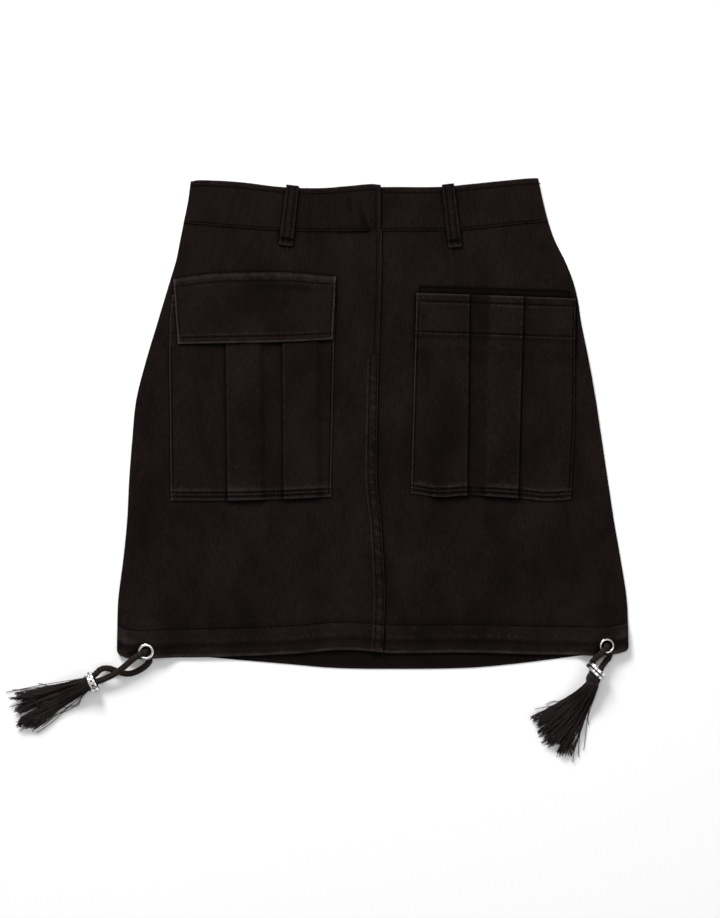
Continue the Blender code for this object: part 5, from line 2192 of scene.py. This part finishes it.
@dataclass
class Tie:
    """One tie: a looped cord through an eyelet, a ring bead over both its ends, and a tassel."""

    side: Side
    cord_radius: float = 3.0
    cord_step: float = 0.55
    braid_lay: float = 7.6
    braid_lobes: int = 4
    bead_height: float = 10.3
    bead_radius: float = 10.0
    bead_bore: float = 8.4
    bead_width: float = 6.6
    stones: int = 14
    stone_radius: float = 1.15
    head_radius: float = 6.2
    head_threads: int = 46
    locks: int = 56
    threads: int = 5
    thread_steps: int = 16
    thread_radius: float = 0.46
    fan_lowest: float = 0.6
    fan_thickness: float = 7.4

    def route(self) -> Route:
        """The cord's route: over the hem, down the eyelet and back under the hem.

        Returns:
            Points in mm, from the bead, round through the hem and back to it.
        """
        if self.side is Side.LEFT:
            return (
                (-264.7, -246.0, 8.5), (-262.2, -245.0, 8.5), (-256.3, -242.9, 8.8),
                (-250.1, -240.2, 9.6), (-242.9, -236.1, 10.9), (-235.6, -230.6, 12.6),
                (-228.4, -224.3, 14.6), (-221.6, -219.2, 15.7), (-218.4, -217.8, 15.4),
                (-216.6, -217.1, 14.0), (-215.6, -216.7, 12.0), (-214.9, -216.2, 9.6),
                (-214.5, -216.0, 7.5), (-214.0, -216.9, 5.7), (-213.3, -219.2, 4.7),
                (-212.4, -222.4, 4.55), (-212.4, -226.0, 4.3), (-216.1, -230.3, 3.6),
                (-222.3, -234.6, 3.35), (-230.5, -237.5, 3.3), (-237.7, -237.0, 3.3),
                (-245.0, -234.4, 3.6), (-251.2, -232.4, 5.0), (-257.3, -232.9, 7.2),
                (-261.0, -235.8, 9.3), (-263.3, -238.1, 10.1), (-264.9, -238.95, 10.3),
                (-267.3, -239.95, 10.3),
            )
        return (
            (206.25, -232.0, 10.3), (206.83, -229.5, 10.3), (207.6, -226.8, 11.4),
            (209.9, -223.4, 14.0), (213.6, -220.0, 15.9), (217.3, -216.2, 16.5), (219.6, -213.7, 16.0),
            (220.9, -212.2, 14.4), (221.6, -211.3, 12.2), (222.0, -210.6, 9.8), (222.4, -210.6, 7.7),
            (222.9, -211.7, 5.8), (223.7, -214.2, 4.75), (224.6, -217.4, 4.55), (224.9, -220.4, 4.5),
            (223.7, -223.0, 4.9), (221.4, -225.2, 6.2), (219.1, -228.0, 8.7), (217.4, -230.0, 10.0),
            (216.57, -231.8, 10.3), (215.98, -234.3, 10.3),
        )

    @property
    def entry(self) -> Vector:
        """Where the bead's axis meets the face that the cord goes into."""
        x, y = (-262.9, -243.5) if self.side is Side.LEFT else (211.7, -230.6)
        return Vector((x, y, self.bead_height))

    @property
    def axis(self) -> float:
        """The way the bead and the tassel's head point, in degrees."""
        return 203.0 if self.side is Side.LEFT else 257.0

    @property
    def ahead(self) -> Array:
        """That way as an array."""
        return np.array(heading(self.axis))

    @property
    def across(self) -> Array:
        """The level way across the bead."""
        return np.array((self.ahead[1], -self.ahead[0], 0))

    @property
    def head_length(self) -> float:
        """How far the tassel's head stands out of the bead."""
        return 3.6 if self.side is Side.LEFT else 11.0

    def build_cord(self) -> None:
        path = smooth_route(self.route(), self.cord_step)
        steps, sides = len(path), 36
        along = np.arange(steps)[:, None] * self.cord_step
        around = self.braid_lobes * np.arange(sides)[None, :] * math.tau / sides
        one = np.cos(around + along * math.tau / self.braid_lay)
        other = np.cos(around - along * math.tau / self.braid_lay)
        braid = np.abs(one * other) ** 0.6 * np.sign(one * other)
        swell = 0.93 + 0.08 * braid + 0.006 * ripple(along, 21, 1.0)
        points, faces = tubes(path[None], np.full((1, steps), self.cord_radius), sides, swell[None])
        parts = Parts()
        # The braid's raised crests are made paler: a painted highlight.
        parts.add(points, faces, np.clip(0.9 * braid.reshape(-1), 0, 1))
        made = parts.build(f"braided_cord_{self.side.label}", Finish.BRAID, 80.0)
        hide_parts(f"cord_{self.side.label}")
        length = float(np.sum(np.linalg.norm(np.diff(path, axis=0), axis=1))) * MM
        LOG.info("cord %s: %.0f mm long", self.side.label, length / MM)

    def bead_outline(self) -> Pairs:
        """The outline that the bead is turned from.

        Returns:
            Radius and place along the axis: a channel for stones on the left, a groove on the right.
        """
        half, bore, radius = self.bead_width / 2, self.bead_bore, self.bead_radius
        if self.side is Side.LEFT:
            low = radius - 0.45
            face = ((radius, half - 0.5), (radius, half - 1.1), (low, half - 1.4))
            face += ((low, 1.4 - half), (radius, 1.1 - half), (radius, 0.5 - half))
        else:
            face = ((radius, half - 0.9), (radius, 1.0), (radius - 0.15, 0.8), (radius - 0.8, 0.7))
            face += ((radius - 0.8, -0.7), (radius - 0.15, -0.8), (radius, -1.0), (radius, 0.9 - half))
        inside = ((bore + 0.3, -half), (bore, 0.3 - half), (bore, half - 0.3), (bore + 0.3, half))
        shoulder = ((radius - 0.5, half), (radius - 0.15, half - 0.15))
        return inside + shoulder + face + tuple((r, -place) for r, place in shoulder[::-1])

    def build_bead(self) -> list[Piece]:
        """Builds the ring bead: set with dark stones on the left, plain with a dark groove on the right.

        Returns:
            The bead's pieces.
        """
        label = self.side.label
        axis = heading(self.axis + (-30.0 if self.side is Side.RIGHT else 0.0))
        centre = self.entry + heading(self.axis) * (self.bead_width / 2)
        parts = Parts()
        add_turned(parts, self.bead_outline(), centre, axis, 96)
        bead = parts.build(f"metal_bead_{label}", Finish.BEAD, 30.0)
        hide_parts(f"ring_bead_{label}")
        if self.side is Side.LEFT:
            return [bead, *self.build_stones(centre)]
        inlay = Parts()
        low, high = self.bead_radius - 1.0, self.bead_radius - 0.45
        add_turned(inlay, ((low, 0.66), (high, 0.66), (high, -0.66), (low, -0.66)), centre, axis, 96)
        return [bead, inlay.build(f"bead_inlay_{label}", Finish.STONE, 30.0)]

    def build_stones(self, centre: Vector) -> list[Piece]:
        """Builds the round dark stones in the bead's channel, each in a thin collar.

        Args:
            centre: The bead's centre.

        Returns:
            The stones and the collars.
        """
        stones, collars, size = Parts(), Parts(), self.stone_radius
        dome = tuple((size * math.cos(a), 0.55 * math.sin(a)) for a in np.linspace(0, math.pi / 2 - 0.05, 5))
        stone = (*dome, (0.0001, 0.4), (0.0001, -0.3), (size, -0.3))
        around = np.arange(6) * math.tau / 6
        collar = tuple((1.3 + 0.22 * math.cos(a), 0.1 + 0.22 * math.sin(a)) for a in around)
        for k in range(self.stones):
            angle = math.tau * (k + 0.25) / self.stones
            out = Vector((0, 0, 1)) * math.cos(angle) + Vector(self.across) * math.sin(angle)
            foot = centre + out * (self.bead_radius - 0.5)
            add_turned(stones, stone, foot, out, 14)
            add_turned(collars, collar, foot, out, 14)
        label = self.side.label
        return [
            stones.build(f"bead_stones_{label}", Finish.STONE, 60.0),
            collars.build(f"bead_collars_{label}", Finish.BEAD, 60.0),
        ]

    def fan(self) -> tuple[Profile, Profile]:
        """Where the threads go from one edge of the head to the other: headings and reaches.

        Returns:
            The headings in degrees and the reaches in mm, from -1 to 1 across the head.
        """
        if self.side is Side.LEFT:
            rows = (
                (-1.0, 219.0, 63), (-0.7, 215.5, 68), (-0.3, 211.0, 72), (0.0, 208.4, 69.5),
                (0.12, 207.2, 68), (0.18, 202.8, 70), (0.4, 200.8, 69.5), (0.48, 195.0, 65.5),
                (0.75, 191.8, 68.0), (1.0, 188.6, 66),
            )
        else:
            rows = (
                (-1.0, 252.0, 70), (-0.8, 247.5, 72), (-0.5, 242.0, 69.5), (-0.34, 238.5, 64.5),
                (-0.1, 233.5, 69), (0.2, 226.5, 65), (0.5, 219.5, 63), (0.8, 213.0, 62.5),
                (1.0, 209.5, 61),
            )
        return Profile(tuple((u, a) for u, a, _ in rows)), Profile(tuple((u, r) for u, _, r in rows))

    def thread_paths(self, chance: Chance) -> Array:
        """The lines of the fan's threads, which twist round each other in locks.

        Args:
            chance: Where the random numbers come from.

        Returns:
            Each thread's points, as threads, points and XYZ.
        """
        steps, per = self.thread_steps, self.threads
        index = np.arange(self.locks) + 0.5
        ring, angle = np.sqrt(index / self.locks), index * math.pi * (3 - math.sqrt(5))
        lock = np.repeat(np.arange(self.locks), per)
        count = len(lock)
        u, v = (ring * np.cos(angle))[lock], (ring * np.sin(angle))[lock]
        headings, reaches = self.fan()
        turn = headings.at(u / 0.97) + chance.normal(0, 0.8, self.locks)[lock] + chance.normal(0, 0.35, count)
        reach = reaches.at(u / 0.97) * (1 + chance.normal(0, 0.035, self.locks)[lock])
        reach = reach * (1 + chance.normal(0, 0.02, count))
        ahead, across = self.ahead, self.across
        end = np.array(self.entry) + ahead * (self.bead_width + self.head_length - 0.6)
        s = np.linspace(0, 1, steps)
        out = np.stack([np.cos(np.radians(turn)), np.sin(np.radians(turn)), 0 * turn], -1)
        root = end + across * (u * self.head_radius)[:, None]
        tip = end + across * (u * self.head_radius * 0.4)[:, None] + out * reach[:, None]
        bow = 0.32 if self.side is Side.RIGHT else 0.22
        control = mix(root + ahead * (reach * 0.42)[:, None], mix(root, tip, 0.5), 1 - bow)
        lines = (
            root[:, None] * ((1 - s) ** 2)[None, :, None]
            + control[:, None] * (2 * s * (1 - s))[None, :, None]
            + tip[:, None] * (s**2)[None, :, None]
        )
        sway = np.stack([-out[:, 1], out[:, 0], 0 * turn], -1)
        phase, pace = lock * 1.9, 1.5 + 0.6 * np.sin(lock * 3.1)
        wave = 1.3 * np.sin(pace[:, None] * s * 5 + phase[:, None]) * s
        loose = np.cumsum(chance.normal(0, 0.1, (count, steps)), axis=1) * s
        first, turns = np.arange(count) % per * math.tau / per, 3.5 + np.sin(lock * 2.1)
        ply = first[:, None] + turns[:, None] * math.tau * s
        spread = 0.85 * (0.5 + 0.5 * s)
        lines += sway[:, None] * (wave + loose + spread * np.cos(ply))[..., None]
        low = self.fan_lowest + self.thread_radius + (self.fan_thickness - 1.0) * (v + 1) / 2
        top = self.entry.z + v * self.head_radius
        fall = ease(s / 0.5)[None]
        ripples = 0.35 * np.sin(7 * s[None] + phase[:, None] * 1.7) * s
        heights = mix(top[:, None], low[:, None], fall) + ripples + spread * np.sin(ply)
        lines[..., 2] = np.maximum(heights, 0.75)
        return lines

    def stray_paths(self, chance: Chance) -> Array:
        """A few fine threads that stand off the fan, some of them curled back.

        Args:
            chance: Where the random numbers come from.

        Returns:
            Each thread's points, as threads, points and XYZ.
        """
        s = np.linspace(0, 1, 22)
        if self.side is Side.LEFT:
            rows = ((184.5, 70, 3.5, 1.0), (187.5, 76, -3, 0.6), (222, 58, 4, 1.2), (226, 44, 6, 2.2))
            rows += ((224, 66, 3, 0.8), (231, 30, 7, 3.0), (198, 76, 2, 0.6), (214, 76, 2, 0.7))
            rows += ((182, 46, 4, 1.4), (236, 24, 6, 2.6))
        else:
            rows = ((205, 52, 5, 2.0), (201, 48, 6, 3.0), (198, 60, 5, 2.4), (207, 60, 4, 1.0))
            rows += ((259, 71, -4, 0.8), (262, 62, -5, 1.2), (257, 76, -3, 0.8), (229, 73, 2, 0.5))
            rows += ((246, 76, 2, 0.6), (264, 40, -5, 1.5))
        ahead, across, lines = self.ahead, self.across, []
        end = np.array(self.entry) + ahead * (self.bead_width + self.head_length)
        for turn, reach, curl, loops in rows:
            out = np.array(heading(turn))
            start = float(np.clip(self.axis - turn, -6.5, 6.5))
            aside = np.array((-out[1], out[0], 0))
            middle = end + ahead * 9 * (1 - np.exp(-4 * s))[:, None]
            line = middle + out * ((reach - 9) * s)[:, None] + across * start * (1 - 0.4 * s)[:, None]
            swing = curl * np.sin(math.pi * s) * 0.6 + loops * np.sin(5.5 * s + turn) * s
            line = line + aside * swing[:, None] + ahead * (loops * np.cos(7 * s + reach) * s)[:, None]
            low = 1.2 + 1.5 * chance.random()
            line[:, 2] = mix(self.entry.z - 3, low, ease(s / 0.6)) + 0.8 * np.sin(6 * s)
            lines.append(line)
        return np.array(lines)

    def head_profile(self) -> Pairs:
        """The bound head's radius along its axis, from inside the bead to its end.

        Returns:
            Place along the axis and radius, point by point.
        """
        width = self.bead_width
        if self.side is Side.LEFT:
            inside, past = ((2.0, 4.8), (3.5, 6.8)), ((-0.6, 7.6), (0.8, 7.4), (2.2, 6.6), (3.6, 6.2))
            return inside + tuple((width + step, radius) for step, radius in past)
        return (
            (2.4, 3.6),
            (4.4, 4.8),
            (width + 0.6, 5.1),
            (width + 2.6, 6.0),
            (width + 5.2, 6.5),
            (width + 7.4, 6.2),
            (width + 8.8, 5.5),
            (width + 10.0, 5.5),
            (width + 11.0, 6.1),
        )

    def add_threads(self, parts: Parts, chance: Chance) -> None:
        """Adds the fan's threads and the few that stray.

        Args:
            parts: The mesh to add them to.
            chance: Where the random numbers come from.
        """
        steps = self.thread_steps
        lines = self.thread_paths(chance)
        taper, girth = np.linspace(1.1, 0.8, steps)[None], 0.85 + 0.3 * chance.random((len(lines), 1))
        radii = self.thread_radius * taper * girth
        points, faces = tubes(lines, radii, 5)
        parts.add(points, faces, np.repeat(0.6 * chance.random(len(lines)) ** 3, steps * 5))
        strays = self.stray_paths(chance)
        points, faces = tubes(strays, np.full(strays.shape[:2], 0.3), 4)
        parts.add(points, faces, 0.3)

    def add_head_threads(self, parts: Parts, chance: Chance, along: Array, radius: Array) -> None:
        """Adds the threads that lie over the head.

        Args:
            parts: The mesh to add them to.
            chance: Where the random numbers come from.
            along: Places along the head's axis.
            radius: The head's radius at each.
        """
        lines, up = [], np.array((0, 0, 1.0))
        for k in range(self.head_threads):
            angle = math.tau * k / self.head_threads + 0.25 * (along - along[0]) / 10
            aside, rise = radius * np.sin(angle), radius * np.cos(angle)
            line = np.array(self.entry) + self.ahead * along[:, None] + self.across * aside[:, None]
            lines.append(line + up * rise[:, None])
        lines = np.array(lines)
        lines[..., 2] = np.maximum(lines[..., 2], 0.8)
        points, faces = tubes(lines, np.full(lines.shape[:2], 0.55), 5)
        parts.add(points, faces, np.repeat(0.3 * chance.random(self.head_threads), len(along) * 5))

    def build_head(self, along: Array, radius: Array) -> Piece:
        """Builds the head under its threads, with the binding round the right one's neck.

        Args:
            along: Places along the head's axis.
            radius: The head's radius at each.

        Returns:
            The head.
        """
        parts = Parts()
        outline = tuple((float(r) - 0.5, float(a)) for a, r in zip(along, radius))
        core = ((0.01, float(along[0])), *outline, (0.01, float(along[-1])))
        add_turned(parts, core, self.entry, heading(self.axis), 28)
        if self.side is Side.RIGHT:
            turns = np.linspace(0, 1, 140)
            angle = turns * math.tau * 4.5
            place = self.bead_width + 8.2 + 2.4 * turns
            around = self.across * np.sin(angle)[:, None] + np.array((0, 0, 1.0)) * np.cos(angle)[:, None]
            line = np.array(self.entry) + self.ahead * place[:, None] + around * 6.0
            points, faces = tubes(line[None], np.full((1, len(turns)), 0.42), 6)
            parts.add(points, faces, 0.3)
        return parts.build(f"tassel_head_{self.side.label}", Finish.TASSEL, 60.0)

    def build_tassel(self) -> list[Piece]:
        """Builds the tassel's threads and its head.

        Returns:
            The tassel's pieces.
        """
        chance = np.random.default_rng(7 if self.side is Side.LEFT else 11)
        profile = self.head_profile()
        along = np.linspace(profile[0][0], profile[-1][0], 16)
        radius = Profile(profile).at(along)
        parts = Parts()
        self.add_threads(parts, chance)
        self.add_head_threads(parts, chance, along, radius)
        tassel = parts.build(f"tassel_threads_{self.side.label}", Finish.TASSEL, 80.0)
        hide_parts(f"tassel_{self.side.label}")
        return [tassel, self.build_head(along, radius)]

    def build(self) -> None:
        """Builds the whole tie."""
        pieces = self.build_bead() + self.build_tassel()
        self.build_cord()


# Studio


@dataclass
class Studio:
    """A plain pale floor, soft light from the upper left, and a camera that looks straight down."""

    photo_height: int = 918
    mm_per_pixel: float = 0.95
    centre: tuple[float, float] = (-12.1, -33.7)
    lens: float = 135.0
    sensor: float = 36.0
    floor_half: float = 4000.0

    def build_camera(self) -> None:
        """The camera, framed as the photo is."""
        data = bpy.data.cameras.new("photo camera")
        data.lens = self.lens
        data.sensor_fit = "VERTICAL"
        data.sensor_height = self.sensor
        data.clip_end = 100.0
        camera = bpy.data.objects.new("photo camera", data)
        distance = self.lens * self.photo_height * self.mm_per_pixel / self.sensor
        camera.location = Vector((*self.centre, distance + 3.0)) * MM
        bpy.context.scene.collection.objects.link(camera)
        bpy.context.scene.camera = camera

    def build_floor(self) -> None:
        """The floor, just under what lies on it."""
        reach = self.floor_half * MM
        mesh = bpy.data.meshes.new("floor")
        corners = [(-reach, -reach, 0), (reach, -reach, 0), (reach, reach, 0), (-reach, reach, 0)]
        mesh.from_pydata(corners, [], [(0, 1, 2, 3)])
        made, shade, shader = new_material("pale floor", 0.9, 0.2)
        place = shade.add("TexCoord").outputs["Object"]
        tone = shade.noise(place, 3.0, 2.0)
        colour = shade.colour_mix(painted((0.90, 0.90, 0.90)), painted((0.915, 0.912, 0.91)), tone)
        shade.feed(colour, shader.inputs["Base Color"])
        mesh.materials.append(made)
        floor = bpy.data.objects.new("floor", mesh)
        floor.location.z = -0.05 * MM
        bpy.context.scene.collection.objects.link(floor)

    def build_lights(self) -> None:
        """A large soft light at the upper left, a weaker one opposite, and a white surround."""
        for name, place, size, power in (
            ("key", (-950, 1950, 1750), 1.2, 84.0),
            ("fill", (1500, -1400, 2300), 2.0, 16.0),
            ("overhead", (-250, 450, 3300), 0.9, 12.0),
        ):
            data = bpy.data.lights.new(name, "AREA")
            data.shape = "DISK"
            data.size = size
            data.energy = power
            light = bpy.data.objects.new(name, data)
            light.location = Vector(place) * MM
            light.rotation_euler = (-Vector(place)).to_track_quat("-Z", "Y").to_euler()
            bpy.context.scene.collection.objects.link(light)
        world = bpy.data.worlds.new("white surround")
        world.use_nodes = True
        shade = Shade(world.node_tree)
        height = shade.add("SeparateXYZ")
        shade.feed(shade.add("TexCoord").outputs["Generated"], height.inputs[0])
        rise = shade.math("POWER", shade.math("MAXIMUM", height.outputs["Z"], 0.0), 2.0)
        tone = shade.colour_mix(painted((0.12, 0.12, 0.12)), painted((0.64, 0.64, 0.64)), rise)
        shade.feed(tone, world.node_tree.nodes["Background"].inputs["Color"])
        bpy.context.scene.world = world
        bpy.context.scene.view_settings.view_transform = "Standard"


def main() -> None:
    """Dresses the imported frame, piece by piece, and reports each."""
    logging.basicConfig(level=logging.INFO, format="%(name)s: %(message)s")
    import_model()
    studio = Studio()
    studio.build_camera()
    for side in Side:
        Tie(side).build()
        LOG.info("tie %s: cord, bead and tassel", side.label)
    studio.build_floor()
    studio.build_lights()
    LOG.info("studio: floor, lights and camera")
    for side in Side:
        FrontPanel(side).build()
        BackPanel(side).build()
        Waistband(side).build()
        BeltLoop(side).build()
        PleatedPocket(side).build()
        Eyelet.on(side).build()
        LOG.info("%s half: front, back, waistband, belt loop, pocket and eyelet", side.label)
    BackWaistband().build()
    PocketFlap().build()
    TuckedFlap().build()
    LOG.info("flaps and back waistband")


if __name__ == "__main__":
    main()
